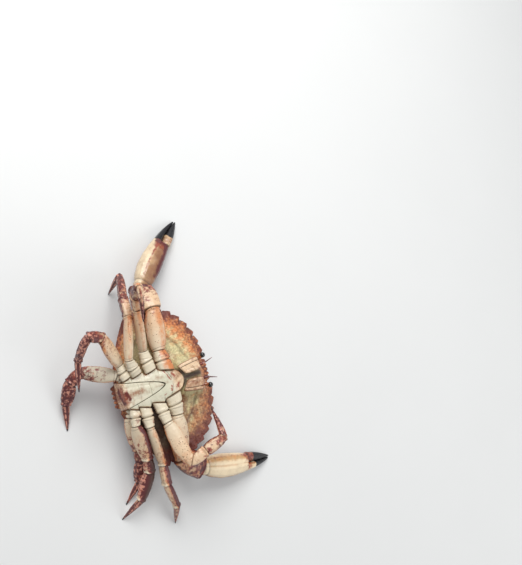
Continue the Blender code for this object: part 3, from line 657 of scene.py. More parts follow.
@functools.cache
def shell_skin():
    """Grainy shell: olive inside on the belly, then orange, a red rim and a brick-red back."""
    skin = Finish("grainy shell")
    tone, ramp = skin.tone, skin.ramp
    share, grain = skin.attribute("share"), skin.attribute("grain")
    skin.colour = skin.clouded(130.0, 4.0, tone("olive", 1.2), tone("olive", 0.66))
    skin.stain(ramp(share, 0.5, 1.0), tone("blush", 1.15), 150.0, 0.5, 0.35)
    # Painted shade: brown laid where the shade mask is high, on the left side and beside the limbs
    skin.stain("shade", skin.mix(0.25, tone("umber"), tone("blush", 0.75)), 140.0, 0.55, 0.4)
    skin.stain(ramp(share, 0.8, 1.06), tone("rim", 1.1), 280.0, 0.75, 0.3)
    # Painted shade: the seam colour in the valleys between grains, weaker towards the belly's middle
    painted_valley_shade = skin.math("MULTIPLY", ramp(grain, 0.1, 0.7, 0.46, 0.0), ramp(share, 0.35, 0.8, 0.45, 1.0))
    skin.cover(painted_valley_shade, tone("seam"))
    # Painted highlight: cream on the tops of the grains
    skin.cover(ramp(grain, 0.6, 1.0, 0.0, 0.22), tone("cream"))
    # The seam colour over the seams, and painted shade in the gaps
    skin.cover("seam", tone("seam"))
    under = skin.colour
    skin.colour = skin.clouded(110.0, 4.0, tone("back", 0.75), tone("back", 1.25))
    skin.lay(dots_group, 0.42, tone("blush", 0.8), 420.0)
    skin.colour = skin.mix(skin.attribute("back"), under, skin.colour)
    # Dark red at the shell's corners, and painted shade on the rim's left side
    skin.stain("dark", skin.mix(0.4, tone("rim", 0.8), tone("maroon")), 200.0, 0.5, 0.3)
    return skin.done(0.5, 620.0, 0.75, 0.1)


@functools.cache
def plate_skin():
    """Porcelain breastplate and abdomen with brown mottling and red-brown streaks."""
    skin = Finish("breastplate")
    tone = skin.tone
    skin.colour = skin.clouded(60.0, 3.0, tone("porcelain", 1.04), tone("porcelain", 0.8))
    skin.stain(0.42, tone("sage"), 75.0, 0.3, 0.3)
    skin.stain("blush", skin.mix(0.2, tone("cream"), tone("blush", 1.2)), 150.0, 0.25, 0.45)
    # Brown mottling, and painted shade on the breastplate's right half, the left mouth plate and the right
    # palm
    skin.stain("mottle", tone("umber", 1.35), 210.0, 0.5, 0.42)
    skin.stain("red", tone("rim", 1.3), 420.0, 0.6, 0.4)
    skin.stain("dark", tone("back", 0.5), 240.0, 0.5, 0.25)
    # Seams, and painted shade round the abdomen
    skin.cover("seam", tone("seam", 0.8))
    return skin.done(0.34, 1300.0, 0.16, 0.35)


@functools.cache
def claw_skin():
    """Hand: cream below, tan and orange above, a red-brown ridge line and black fingers."""
    skin = Finish("claw skin")
    tone = skin.tone
    skin.colour = skin.clouded(60.0, 2.0, tone("cream", 1.2), tone("cream", 0.96))
    tan = skin.clouded(150.0, 4.0, tone("blush", 1.1), tone("olive", 0.62))
    skin.stain("blush", tan, 110.0, 0.35, 0.42)
    # Brown mottling, and painted shade on the right hand
    skin.stain("mottle", tone("umber", 1.15), 90.0, 0.35, 0.5)
    skin.lay(dots_group, "dots", tone("umber", 0.8), 800.0)
    skin.stain("red", tone("rim", 1.25), 300.0, 0.6, 0.3)
    skin.stain("dark", tone("maroon", 1.1), 240.0, 0.5, 0.35)
    skin.stain("horn", tone("horn"), 300.0, 0.12, 0.06)
    skin.cover("seam", tone("seam"))
    return skin.done(0.34, 900.0, 0.3, 0.18)


@functools.cache
def eye_skin():
    """Glossy black eyeball on a red-brown stalk."""
    skin = Finish("eye")
    skin.colour = skin.clouded(500.0, 2.0, skin.tone("rim"), skin.tone("blush", 0.6))
    skin.cover("horn", EYE_BLACK)
    return skin.done(0.16, 2400.0, 0.05, 0.8)


# Meshes

def skin_faces(rows, columns, wrap):
    """Quads of a grid of points, joined round its columns where it wraps."""
    ring = np.arange(columns)
    after = (ring + 1) % columns
    if not wrap:
        ring, after = ring[:-1], after[:-1]
    start = (np.arange(rows - 1) * columns)[:, None]
    quads = np.stack([start + ring, start + after, start + columns + after, start + columns + ring], axis=-1)
    return quads.reshape(-1, 4)


def fan_faces(ring, pole):
    """Triangles from a closed run of points to one point."""
    return np.stack([ring, np.roll(ring, -1), np.full(len(ring), pole)], axis=-1)


def lay_piece(name, points, quads, triangles, finish, masks, nodes):
    """A piece that rides on the crab's body and stands for its nodes, with its faces outwards."""
    corners = np.concatenate([quads[:, [0, 1, 2]], quads[:, [0, 2, 3]], triangles])
    a, b, c = (points[corners[:, i]] for i in range(3))
    if np.einsum("ij,ij->i", a, np.cross(b, c)).sum() < 0:
        quads, triangles = quads[:, ::-1], triangles[:, ::-1]
    mesh = bpy.data.meshes.new(name)
    mesh.from_pydata(to_frame(points).tolist(), [], quads.tolist() + triangles.tolist())
    mesh.shade_smooth()
    for mask, values in masks.items():
        layer = mesh.attributes.new(mask, "FLOAT", "POINT")
        layer.data.foreach_set("value", np.clip(values, 0, 1).astype(np.float32))
    mesh.materials.append(finish())
    piece = bpy.data.objects.new(name, mesh)
    bpy.context.scene.collection.objects.link(piece)
    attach(piece, "root")
    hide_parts(*nodes)


def lay_tube(name, rings, finish, masks, nodes):
    """A tube of rings closed at each end by a fan to the middle of its last ring."""
    rows, columns, _ = rings.shape
    points = np.concatenate([rings.reshape(-1, 3), rings[0].mean(0)[None], rings[-1].mean(0)[None]])
    points[:, 2] = np.maximum(points[:, 2], 0.0)
    first = np.arange(columns)
    last = first + (rows - 1) * columns
    triangles = np.concatenate([fan_faces(first[::-1], rows * columns), fan_faces(last, rows * columns + 1)])
    full = {}
    for mask, values in masks.items():
        values = np.broadcast_to(values, (rows, columns))
        full[mask] = np.concatenate([values.reshape(-1), values[0, :1], values[-1, :1]])
    lay_piece(name, points, skin_faces(rows, columns, True), triangles, finish, full, nodes)


def lay_plate(name, upper, lower, masks, nodes):
    """A plate whose upper and lower skins are grids of the same size, joined round their rim."""
    rows, columns, _ = upper.shape
    below = rows * columns
    top = skin_faces(rows, columns, False)
    index = np.arange(below).reshape(rows, columns)
    rim = np.concatenate([index[0, :-1], index[:-1, -1], index[-1, :0:-1], index[:0:-1, 0]])
    after = np.roll(rim, -1)
    wall = np.stack([after, rim, rim + below, after + below], axis=-1)
    quads = np.concatenate([top, top[:, ::-1] + below, wall])
    points = np.concatenate([upper.reshape(-1, 3), lower.reshape(-1, 3)])
    full = {mask: np.tile(np.broadcast_to(values, (rows, columns)).reshape(-1), 2)
            for mask, values in masks.items()}
    lay_piece(name, points, quads, np.zeros((0, 3), dtype=int), plate_skin, full, nodes)


def superellipse(sides, power):
    """The turns round a ring, and how far each reaches along and across a superellipse."""
    turn = (np.arange(sides) + 0.5) * 2 * math.pi / sides
    wide, thick = (np.sign(reach) * np.abs(reach) ** (2 / power) for reach in (np.cos(turn), np.sin(turn)))
    return turn, wide, thick


def sweep(path, broad, across, half_breadths, half_depths, wide, thick):
    """Rings across a path: a ring's breadths and depths laid along two directions at each place."""
    return (path[:, None] + half_breadths[:, None, None] * wide[None, :, None] * broad[:, None]
            + half_depths[:, None, None] * thick[None, :, None] * across[:, None])


def slid(rings, end, way, plane, weight):
    """The rings slid along a way until the end one lies on a plane, by a weight for each ring."""
    point, normal = plane
    slide = ((point - rings[end]) @ normal) / (way @ normal)
    return rings + weight[:, None, None] * slide[None, :, None] * way


# Shell

def half_margin():
    """Points of the right half of the shell's edge: a superellipse quarter before and behind."""
    quarters = []
    for start, end, reach, power in ((0.0, math.pi / 2, SHELL_FRONT - SHELL_WIDEST, FRONT_POWER),
                                     (math.pi / 2, 0.0, -SHELL_REAR, REAR_POWER)):
        turn = np.linspace(start, end, MARGIN_POINTS)
        quarters.append(spots(SHELL_WIDEST + reach * np.cos(turn) ** (2 / power),
                              SHELL_HALF_WIDTH * np.sin(turn) ** (2 / power)))
    front, rear = quarters
    rear[:, 0] = np.maximum(rear[:, 0], REAR_EDGE)
    return np.concatenate([front, rear[1:]])


def lobe(share, peak):
    """A rounded lobe over 0 to 1 that is highest at peak."""
    rise = np.clip(share / peak, 0, 1)
    fall = np.clip((1 - share) / (1 - peak), 0, 1)
    return np.minimum(1 - (1 - rise) ** 2.2, 1 - (1 - fall) ** 3.0)


def hooked(share):
    """A side tooth over 0 to 1: a tip near its front and a long side that falls to a notch."""
    front = np.clip(share / TOOTH_PEAK, 0, 1) ** 0.8
    side = 1 - TOOTH_FALL * np.clip((share - TOOTH_PEAK) / (1 - TOOTH_PEAK), 0, 1)
    notch = np.clip((1 - share) / TOOTH_NOTCH, 0, 1) ** 0.6
    return np.minimum(np.minimum(front, side), notch)


def margin(count):
    """The shell's edge from the front round both sides: smooth points, the same points pushed out
    by the teeth, and how deep between two teeth each place is."""
    line = half_margin()
    along = np.concatenate([[0.0], np.cumsum(np.linalg.norm(np.diff(line, axis=0), axis=1))])
    wanted = np.linspace(0.0, along[-1], count // 2 + 1)
    side = np.stack([np.interp(wanted, along, line[:, i]) for i in (0, 1)], axis=1)
    first = np.interp(ORBIT_OUT, line[:MARGIN_POINTS, 1], along[:MARGIN_POINTS])
    share = (wanted - first) / (along[np.argmax(line[:, 1])] + LAST_TOOTH_BEYOND - first)
    inside = (share > 0) & (share < 1)
    tooth = np.where(inside, hooked(np.mod(share * SIDE_TEETH, 1.0)), 0.0)
    out = TOOTH_HEIGHT * (TOOTH_GROWTH[0] + TOOTH_GROWTH[1] * share) * tooth
    across = side[:, 1]
    pitch = 2 * ORBIT_IN / FRONT_TEETH
    front_tooth = lobe(np.mod(across / pitch + 0.5, 1.0), 0.5)
    out = np.where(across < ORBIT_IN, FRONT_TOOTH_HEIGHT * front_tooth, out)
    orbit = (across >= ORBIT_IN) & (across <= ORBIT_OUT)
    out = np.where(orbit, -ORBIT_DEPTH * np.sin(math.pi * (across - ORBIT_IN) / (ORBIT_OUT - ORBIT_IN)), out)
    tangent = unit(np.gradient(side, axis=0))
    toothed = side + spots(tangent[:, 1], -tangent[:, 0]) * out[:, None]
    notch = (inside | (across < ORBIT_IN)) * (1 - np.where(inside, tooth, front_tooth))
    flip = np.array([1.0, -1.0])
    smooth, toothed = (np.concatenate([edge, edge[1:-1][::-1] * flip]) for edge in (side, toothed))
    return smooth, toothed, np.concatenate([notch, notch[1:-1][::-1]])


def dome(share):
    """Height of the shell's back over the floor at a share of the way to its edge: a power of
    the share beyond the flat middle."""
    return RIM_HEIGHT * np.clip((share - DOME_FLAT) / (1 - DOME_FLAT), 0, 1) ** DOME_POWER


def mouth_frame(forward, right, length):
    """How far a place is inside the raised frame round the mouth, from 1 down to 0: a bump in
    sixth powers, flat inside and steep at its edges."""
    return np.exp(-(((forward - MOUTH_AT) / length) ** 6 + (right / MOUTH_WIDTH) ** 6))


def belly(share, forward, right):
    """Height of the shell's underside: the rim's, a lift that falls off with the fourth power of
    the share of the way to the edge, and the raised frame round the mouth."""
    return (RIM_HEIGHT + BELLY_LIFT * (1 - share ** 4)
            + MOUTH_LIFT * mouth_frame(forward, right, MOUTH_LENGTH))


def belly_relief(forward, right, share):
    """The underside's swellings and furrows: a furrow that follows the edge beside the limbs,
    a swollen band outside it, and a furrow round the mouth frame."""
    side = step(12.0, 22.0, np.abs(right)) * step(-32.0, -16.0, forward)
    furrow = bell(share - 0.66, 0.022) * side
    swell = bell(share - 0.83, 0.1) * side
    ridge = bell(share - 0.70, 0.02) * side
    return swell * 1.5 + ridge * 0.4 - furrow * 1.0, furrow


def back_relief(forward, right):
    """Inward furrows of the back that part its regions: one round the middle of the front, a pair
    beside the heart region, and a short one along the middle."""
    across = np.abs(right)
    neck = bell(np.hypot(forward - 16.0, (across - 2.0) * 0.8) - 25.0, 1.9)
    neck = neck * step(24.0, 10.0, forward) * step(4, 9, across)
    heart = bell(across - 9.5 - 0.06 * (forward + 18) ** 2 * 0.1, 1.6)
    heart = heart * step(-38, -30, forward) * step(-2, -8, forward)
    centre = bell(across, 1.3) * step(8, 16, forward) * step(44, 36, forward)
    return 0.9 * neck + 0.8 * heart + 0.5 * centre


def shell_masks(share, forward, right, furrow, notched, is_back):
    """Where the shell is dark red at its corners and dark in its furrows and its notches, with painted
    shade: darker on the left, brown near the limbs, dark round the mouth plates and behind the left legs."""
    across = np.abs(right)
    corner = bell(across - SHELL_HALF_WIDTH, 20.0) * step(0.62, 0.9, share) * (forward > -32)
    # Painted shade: the rim is darker red along the crab's left side
    corner = corner + 0.35 * step(-6.0, -30.0, right) * step(0.75, 1.0, share)
    # Painted shade: brown over the crab's left side and over the belly's inner part beside the limbs
    shade = 0.56 * step(-6.0, -34.0, right) + 0.5 * step(0.62, 0.4, share) * step(12.0, 22.0, across)
    seam = np.maximum(furrow * 0.5, notched * 0.7)
    if not is_back:
        # Painted shade in the gaps: between the mouth plates, round the sternum's front and behind the left
        # legs
        between = bell(right, 3.6) * step(19, 23, forward) * step(45, 41, forward)
        channel = bell(np.hypot((forward - 14.0) * 0.9, across) - 8.5, 2.4) * step(12, 16, forward)
        pit = 0.85 * step(1.0, -6.0, forward) * step(-13.0, -22.0, right) * step(0.97, 0.8, share)
        seam = np.maximum.reduce([seam, between, 0.95 * channel, pit])
    back = float(is_back) * step(0.0, 0.03, 1 - share)
    return {"share": share, "dark": corner * 0.85, "seam": seam, "back": back,
            "shade": np.clip(shade, 0, 0.8)}


def shell_sheet(settings, edges, is_back):
    """Points and masks of the shell's back or underside: its edge drawn in ring by ring with the
    teeth fading out, over a dome or a belly with furrows, waves and grains."""
    smooth, toothed, notch = edges
    rows = BACK_ROWS if is_back else UNDER_ROWS
    shares = 1 - np.linspace(0, 1, rows + 1)[:-1] ** RING_CROWDING * INNERMOST_RING
    if not is_back:
        shares = shares[1:]
    pull = np.exp(-(1 - shares) / TOOTH_FADE)[:, None, None]
    edge = toothed * pull + smooth * (1 - pull)
    flat = HUB + (edge - HUB) * shares[:, None, None]
    forward, right = flat[..., 0], flat[..., 1]
    share = np.broadcast_to(shares[:, None], forward.shape)
    within = 1 - share
    notched = bell(within, 0.075) * notch
    lift = notched * 1.3 * step(0.0, 0.02, within)
    if is_back:
        sign, furrow, fine = -1.0, 0.0, 1.0
        height = dome(share) + back_relief(forward, right) * bell(within, 0.9) + lift
    else:
        sign = 1.0
        relief, furrow = belly_relief(forward, right, share)
        fine = 1 - 0.85 * mouth_frame(forward, right, SMOOTH_MOUTH_LENGTH)
        height = belly(share, forward, right) + relief - lift
    points = spots(forward, right, height)
    points[..., 2] += sign * 0.4 * waves(points, 5.5, 61) * step(0.0, 0.05, within)
    size = settings.grain_size
    bumps = grains(points, size, 5) * 0.7 + grains(points, size * 2.2, 9) * 0.6
    coarse = settings.grain_height * (0.6 + 0.4 * step(0.5, 0.85, share))
    points[..., 2] += sign * bumps * coarse * fine * step(0.0, 0.03, within)
    outward = unit(spots(forward - HUB[0], right, 0.0))
    points += outward * (bumps * coarse * 0.6 * bell(within, 0.03) * step(-43, -34, forward))[..., None]
    masks = shell_masks(share, forward, right, furrow, notched, is_back)
    masks["grain"] = bumps * (0.3 + 0.7 * fine)
    return points, masks


class CRAB_OT_shell(bpy.types.Operator):
    """Shell: rings drawn in from the toothed edge, a dome below and a sloping belly above"""
    bl_idname = "crab.shell"
    bl_label = "Shell"

    def execute(self, context):
        edges = margin(SHELL_COLUMNS)
        back, back_masks = shell_sheet(context.scene.rock_crab, edges, True)
        under, under_masks = shell_sheet(context.scene.rock_crab, edges, False)
        rings = np.concatenate([back[::-1], under])
        rings[..., 2] = np.maximum(rings[..., 2], 0.0)
        masks = {mask: np.concatenate([back_masks[mask][::-1], under_masks[mask]]) for mask in back_masks}
        lay_tube("shell", rings, shell_skin, masks, ["carapace"])
        return {"FINISHED"}


# Plates of the underside

def abdomen_half(forward):
    """Half the abdomen's breadth: a power of the share of the way from its tip to its base."""
    share = np.clip((ABDOMEN_TIP - forward) / (ABDOMEN_TIP - ABDOMEN_BASE), 0.0, 1.0)
    return ABDOMEN_HALF_WIDTH * share ** ABDOMEN_TAPER


def line_between(forward, right, start, end, width):
    """A soft line of height 1 between two places, given forward and sideways."""
    start, end = np.array(start), np.array(end)
    way = end - start
    offset = np.stack([forward - start[0], right - start[1]], axis=-1)
    along = np.clip(offset @ way / (way @ way), 0, 1)
    return bell(np.linalg.norm(offset - along[..., None] * way, axis=-1), width)


def sternum_seams(forward, right):
    """Seams of the breastplate: one inward from each gap between two limbs, and two that mark
    off its front."""
    across = np.abs(right)
    outside = step(0.6, 1.6, across - abdomen_half(forward))
    inward = step(6.5, 1.0, sternum_half(forward) - across)
    lines = [bell(forward - place - 0.1 * (across - 15.0), 0.38) * inward for place in STERNUM_SUTURES]
    front = line_between(forward, across, (4.2, 12.4), (8.2, 3.2), 0.34)
    tip = line_between(forward, across, (13.0, 9.5), (15.4, 1.4), 0.3)
    return np.max(lines + [front * 0.8, tip * 0.5], axis=0) * outside


class CRAB_OT_sternum(bpy.types.Operator):
    """Breastplate: a crowned height over a grid as broad as the stepped outline, with swellings
    added, and the seams and the abdomen's bed taken out"""
    bl_idname = "crab.sternum"
    bl_label = "Breastplate"

    def execute(self, context):
        settings = context.scene.rock_crab
        rows, columns = STERNUM_GRID
        forward = np.linspace(STERNUM_EDGE[0][0], STERNUM_EDGE[-1][0], rows)[:, None]
        right = np.linspace(-1, 1, columns)[None, :] * sternum_half(forward)
        forward = np.broadcast_to(forward, right.shape)
        across = np.abs(right)
        inset = sternum_half(forward) - across
        top = STERNUM_TOP - 0.012 * right ** 2 - 0.14 * np.maximum(forward - 2.0, 0.0)
        swell = sum(bell(forward - place, 4.2) for place in (-36.0, -24.0, -10.0)) * step(0.0, 8.0, across)
        seams = sternum_seams(forward, right)
        top = top + 0.35 * swell + 0.5 * bell(forward - 5.5, 4.0) * bell(across - 8.5, 3.0)
        top -= 0.8 * bell(across, 4.5) * step(-2.0, 5.0, forward) * step(19.0, 12.0, forward)
        top -= seams * settings.suture_depth * 0.7
        top -= step(1.3, 0.0, inset) * 1.1 + step(17.0, 20.6, forward) * 1.4
        beyond = across - abdomen_half(forward) - BED_MARGIN + 0.05
        in_bed = step(0.25, -0.25, beyond) * step(0.6, -0.4, forward - ABDOMEN_TIP)
        top = top * (1 - in_bed) + (STERNUM_TOP - ABDOMEN_THICK - GAP) * in_bed
        place = spots(forward, right, top)
        top = top + 0.06 * waves(place, 1.2, 4) + 0.12 * waves(place, 4.5, 14) * (1 - in_bed)
        share = np.minimum(np.hypot(forward - HUB[0], right) / 46.0, 0.92)
        under = RIM_HEIGHT + BELLY_LIFT * (1 - share ** 4) + 0.9 + np.maximum(forward - 8.5, 0.0)
        red = np.max([line_between(forward, right, *streak) for streak in STERNUM_STREAKS], axis=0)
        masks = {
            # Painted shade: the seam colour in the abdomen's bed, strongest near its rim, darkens the gap
            # round the abdomen
            "seam": np.maximum(seams * 0.6, in_bed * (0.3 + 0.55 * step(-2.6, -1.2, beyond))),
            "red": red * 0.75,
            # Brown mottling; the term in the sideways place is painted shade that darkens the right half
            "mottle": (0.1 + 0.42 * step(1.6, 0.2, inset) + 0.24 * step(5, 14, forward)
                       + 0.12 * step(-3.0, 3.0, right)),
            "blush": (step(4.0, 15.0, forward) + step(2.2, 0.4, inset) * 0.8) * 0.8}
        lower = spots(forward, right, np.minimum(under, top - 0.8))
        lay_plate("breastplate", spots(forward, right, top), lower, masks, ["sternum"])
        return {"FINISHED"}


def abdomen_spine(s):
    """Places and outward directions at distances back from the telson's joint: level at first,
    then round an arc at the rear of the body, then straight down it."""
    mid = STERNUM_TOP - ABDOMEN_THICK / 2
    rear = ABDOMEN_BEND_AT
    flat = TELSON_AT - rear
    turn = np.clip((s - flat) / ABDOMEN_BEND, 0.0, math.radians(ABDOMEN_TURN))
    sine, cosine = np.sin(turn), np.cos(turn)
    rest = np.maximum(s - flat - ABDOMEN_BEND * turn, 0.0)
    forward = np.where(s < flat, TELSON_AT - s, rear - ABDOMEN_BEND * sine - rest * cosine)
    height = mid - ABDOMEN_BEND * (1 - cosine) - rest * sine
    return forward, height, -sine, cosine


class CRAB_OT_abdomen(bpy.types.Operator):
    """Folded abdomen: a crowned band along a bent spine, with a step at each segment's edge and
    a crest on the rear segments, and the telson at its tip"""
    bl_idname = "crab.abdomen"
    bl_label = "Abdomen"

    def execute(self, context):
        settings = context.scene.rock_crab
        rows, columns = ABDOMEN_GRID
        s = np.linspace(0.0, ABDOMEN_LENGTH, rows)[:, None]
        t = np.linspace(-1, 1, columns)[None, :]
        widest = SEGMENT_EDGES[1]
        half = np.where(s < widest, abdomen_half(TELSON_AT - s), ABDOMEN_HALF_WIDTH + 0.08 * (s - widest))
        forward, height, out_forward, out_up = abdomen_spine(s)
        bulge = 0.35 * np.exp(-(np.abs(t) / 0.45) ** 2) - 0.25 * bell(np.abs(t) - 0.62, 0.12)
        seams, lips = (np.max([depth * bell(s - edge + back - 0.5 * t ** 2, width)
                               for edge, depth in zip(SEGMENT_EDGES, SEGMENT_DEPTHS)], axis=0)
                       for back, width in ((0.0, 0.35), (1.0, 0.6)))
        crests = np.max([bell(s - edge, 0.8) for edge in SEGMENT_CRESTS], axis=0) * step(1.0, 0.7, np.abs(t))
        reach = ABDOMEN_THICK / 2 * (1 - ABDOMEN_CROWN * t ** 2) + bulge - seams * settings.suture_depth
        reach = reach + lips * 0.25 + crests * 0.5 - step(0.93, 1.0, np.abs(t)) * 0.35
        wide = t * (half * (1 - 0.03 * seams))
        upper, lower = (spots(forward + out_forward * out, wide, height + out_up * out)
                        for out in (reach, -ABDOMEN_THICK / 2))
        upper[..., 2] += 0.06 * waves(upper, 1.4, 8)
        along, across = np.broadcast_arrays(s, t * half)
        rear = step(20.0, 29.0, s)
        # Two dark patches lie aslant over the bend, one behind the other
        spot = line_between(along, across, (23.4, 2.4), (21.6, -3.6), 2.1)
        patch = line_between(along, across, (35.0, 4.5), (29.5, -6.0), 2.9)
        around = line_between(along, across, (28.0, 5.0), (25.0, -6.0), 4.5)
        masks = {
            "seam": seams * 0.7, "blush": 0.15 + 0.85 * rear, "dark": 0.72 * spot + 0.74 * patch + 0.2 * rear,
            "red": rear * 0.4 + 0.4 * spot + 0.5 * patch + 0.4 * around + crests * 0.2,
            "mottle": 0.16 + 0.5 * bell(t, 0.36) * step(2, 9, s)}
        lay_plate("abdomen_skin", upper, lower, masks, ["abdomen"])
        self.telson()
        return {"FINISHED"}

    def telson(self):
        """A rounded triangle, crowned across and let down at its tip."""
        rows, columns = TELSON_GRID
        s = np.linspace(TELSON_AT + GAP, ABDOMEN_TIP - 0.2, rows)[:, None]
        t = np.linspace(-1, 1, columns)[None, :]
        beyond = np.maximum(s - TELSON_AT - TELSON_ROUND_FROM, 0.0) / TELSON_ROUND_OVER
        half = abdomen_half(s) * np.sqrt(np.maximum(1 - beyond ** 2, 0.04))
        mid = STERNUM_TOP - ABDOMEN_THICK / 2
        crown = ABDOMEN_THICK / 2 * (1 - ABDOMEN_CROWN * t ** 2) + 0.3 * bell(t, 0.5)
        crown = crown - 0.3 * step(0.85, 1.0, np.abs(t)) - step(ABDOMEN_TIP - 3.0, ABDOMEN_TIP, s) * 0.5
        upper, lower = (spots(s, t * half, mid + out) for out in (crown, -ABDOMEN_THICK / 2))
        masks = {"seam": 0.3 * step(0.9, 1.0, np.abs(t)), "mottle": 0.15 + 0.25 * bell(t, 0.4), "blush": 0.1}
        lay_plate("telson_skin", upper, lower, masks, ["telson"])


class CRAB_OT_mouth(bpy.types.Operator):
    """Mouth plates: grids between four corners, whose height is grooved into a broad inner plate
    in two lengths and a slim outer strip, with a folded palp"""
    bl_idname = "crab.mouth"
    bl_label = "Mouth plates"

    def execute(self, context):
        settings = context.scene.rock_crab
        rear_inner, rear_outer = np.array(MOUTH_PLATE_REAR)
        front_inner, front_outer = np.array(MOUTH_PLATE_FRONT)
        rows, columns = MOUTH_PLATE_GRID
        s = np.linspace(0, 1, rows)[:, None]
        t = np.linspace(0, 1, columns)[None, :]
        across = (0.5 + (t - 0.5) * (1 - 0.16 * np.abs(2 * s - 1) ** 5))[..., None]
        rear = rear_inner + (rear_outer - rear_inner) * across
        front = front_inner + (front_outer - front_inner) * across
        forward, right = np.moveaxis(rear + (front - rear) * s[..., None], -1, 0)
        level = RIM_HEIGHT + BELLY_LIFT + MOUTH_LIFT + 0.8 - MOUTH_PLATE_SLOPE * (forward - rear_outer[0])
        strip = bell(t - MOUTH_PLATE_STRIP, 0.022) * step(0.0, 0.05, s)
        joint = bell(s - MOUTH_PLATE_JOINT + 0.06 * (t - 0.3), 0.018) * step(0.52, 0.46, t)
        seams = np.maximum(strip, 0.4 * joint)
        groove = bell(t - 0.3, 0.06) * step(0.06, 0.16, s) * step(0.56, 0.48, s)
        dish = bell(np.hypot((s - 0.78) / 0.14, (t - 0.3) / 0.25), 0.8)
        edge = np.abs(2 * t - 1)
        relief = -0.8 * edge ** 2 - 0.9 * step(0.88, 1.0, edge) - 0.9 * step(0.95, 1.0, s)
        relief = relief - 0.7 * step(0.05, 0.0, s) - seams * settings.suture_depth
        relief = relief - 0.5 * groove - 0.35 * dish + 0.45 * bell(t - 0.87, 0.09)
        palp = line_between(forward, right, (39.5, 6.0), (31.5, 5.4), 1.3)
        top = level + 4.0 + relief + 0.6 * palp
        masks = {"seam": np.maximum(seams, 0.4 * step(0.86, 1.0, edge)), "blush": 0.9,
                 "red": 0.34 * step(0.6, 1.0, s) + 0.3 * groove}
        for name, side in SIDES.items():
            upper, lower = (spots(forward, side * right, height) for height in (top, level))
            upper[..., 2] += 0.06 * waves(upper, 1.0, 3) + 0.12 * waves(upper, 3.0, 6)
            # Painted shade: the left plate gets more brown than the right
            masks["mottle"] = MOUTH_MOTTLE_AND_SHADE[name] + 0.25 * step(0.7, 1.0, edge)
            lay_plate(f"mouth_plate_{name}", upper, lower, masks, [f"maxilliped_{name}"])
        return {"FINISHED"}


# Eyes and feelers

def belly_at(forward, right):
    """The underside's place above a point, and its outward direction from two small steps."""
    def height(x, y):
        """The belly's height at the place's share of the way from the hub to the edge."""
        line = half_margin()
        way = np.array([x, abs(y)]) - HUB
        turn = math.atan2(way[1], way[0])
        turns = np.arctan2(line[:, 1] - HUB[1], line[:, 0] - HUB[0])
        reach = np.interp(turn, turns, np.linalg.norm(line - HUB, axis=1))
        return float(belly(np.linalg.norm(way) / reach, x, y))

    size = 1.5
    z = height(forward, right)
    rise_forward = (height(forward + size, right) - z) / size
    rise_right = (height(forward, right + size) - z) / size
    return np.array([forward, right, z]), unit([-rise_forward, -rise_right, 1.0])


def stalk_rings(side, place, way, stops, radii, sides):
    """Rings of a round stalk that grows from the shell's underside and bends to a direction."""
    root, normal = belly_at(place[0], side * place[1])
    out = unit(np.array([way[0], side * way[1], way[2]]))
    share = np.clip(np.array(stops) / stops[-1] * 2.0, 0, 1)[:, None]
    ways = unit(normal * (1 - share) + out * share)
    lengths = np.diff(np.concatenate([[0.0], stops]))
    path = root + normal * SEAT_GAP + np.cumsum(ways * lengths[:, None], axis=0)
    aside = unit(np.cross(ways, np.array([0.3, 1.0, 0.1])))
    turn = np.arange(sides) * 2 * math.pi / sides
    return sweep(path, aside, np.cross(ways, aside), radii, radii, np.cos(turn), np.sin(turn))


class CRAB_OT_eyes(bpy.types.Operator):
    """Eyes and feelers: round rings along a bent stalk, with the radius of a waist and then a
    ball on the eye, and of a stepped, ringed taper on the feeler"""
    bl_idname = "crab.eyes"
    bl_label = "Eyes and feelers"

    def execute(self, context):
        turn = np.radians(np.linspace(-48, 88, 26))
        neck = np.linspace(0.0, EYE_NECK, 12)
        eye_stops = np.concatenate([neck, EYE_NECK + 0.5 + EYE_RADIUS * (0.8 + np.sin(turn))])
        eye_stops = np.maximum.accumulate(eye_stops)
        waist = EYE_NECK_RADIUS - 0.22 * np.sin(neck / EYE_NECK * math.pi)
        eye_radii = np.concatenate([waist, EYE_RADIUS * np.cos(turn)])
        ball = 1.0 * (np.arange(len(eye_stops)) > len(neck))[:, None]
        stops = np.linspace(0.0, FEELER_LENGTH, 90)
        radii = np.interp(stops, FEELER_STOPS, FEELER_RADII)
        radii = radii * (1 + 0.08 * np.sin(stops * 7.0) * (stops > 4.7))
        share = (stops / FEELER_LENGTH)[:, None]
        masks = {"dark": 0.8 - 0.1 * share, "blush": 0.7 - 0.3 * share, "pale": 0.3}
        for name, side in SIDES.items():
            rings = stalk_rings(side, EYE_ROOT, EYE_WAY, eye_stops, eye_radii, 40)
            lay_tube(f"eyeball_{name}", rings, eye_skin, {"horn": ball}, [f"eye_{name}"])
            rings = stalk_rings(side, FEELER_ROOT, FEELER_WAY, stops, radii, 20)
            lay_tube(f"feeler_{name}", rings, limb_skin, masks, [f"antenna_{name}"])
        return {"FINISHED"}


# Limbs

def joints(side, pair):
    """The places of a limb's joints, from its root to its tip: each is the last one plus an
    article's length along its direction."""
    place = np.array([ROOT_FORWARD[pair], SIDES[side] * ROOT_RIGHT[pair], ROOT_HEIGHT[pair]])
    places = [place]
    for length, (heading, rise) in zip(LENGTHS[pair], POSE[side, pair]):
        if rise is None:
            drop = places[-1][2] - (CLAW_TIP_REST if pair == 1 else TIP_REST)
            rise = -math.degrees(math.asin(drop / length))
        places.append(places[-1] + length * aim(heading, rise))
    return places


def hinge_axis(side, pair, merus):
    """The axis that a limb bends about, leaning from upright about the merus."""
    upright = unit(UP - merus[2] * merus)
    level = np.cross(merus, upright)
    lean = math.radians(HINGE_LEAN[side, pair])
    return upright * math.cos(lean) + level * math.sin(lean)


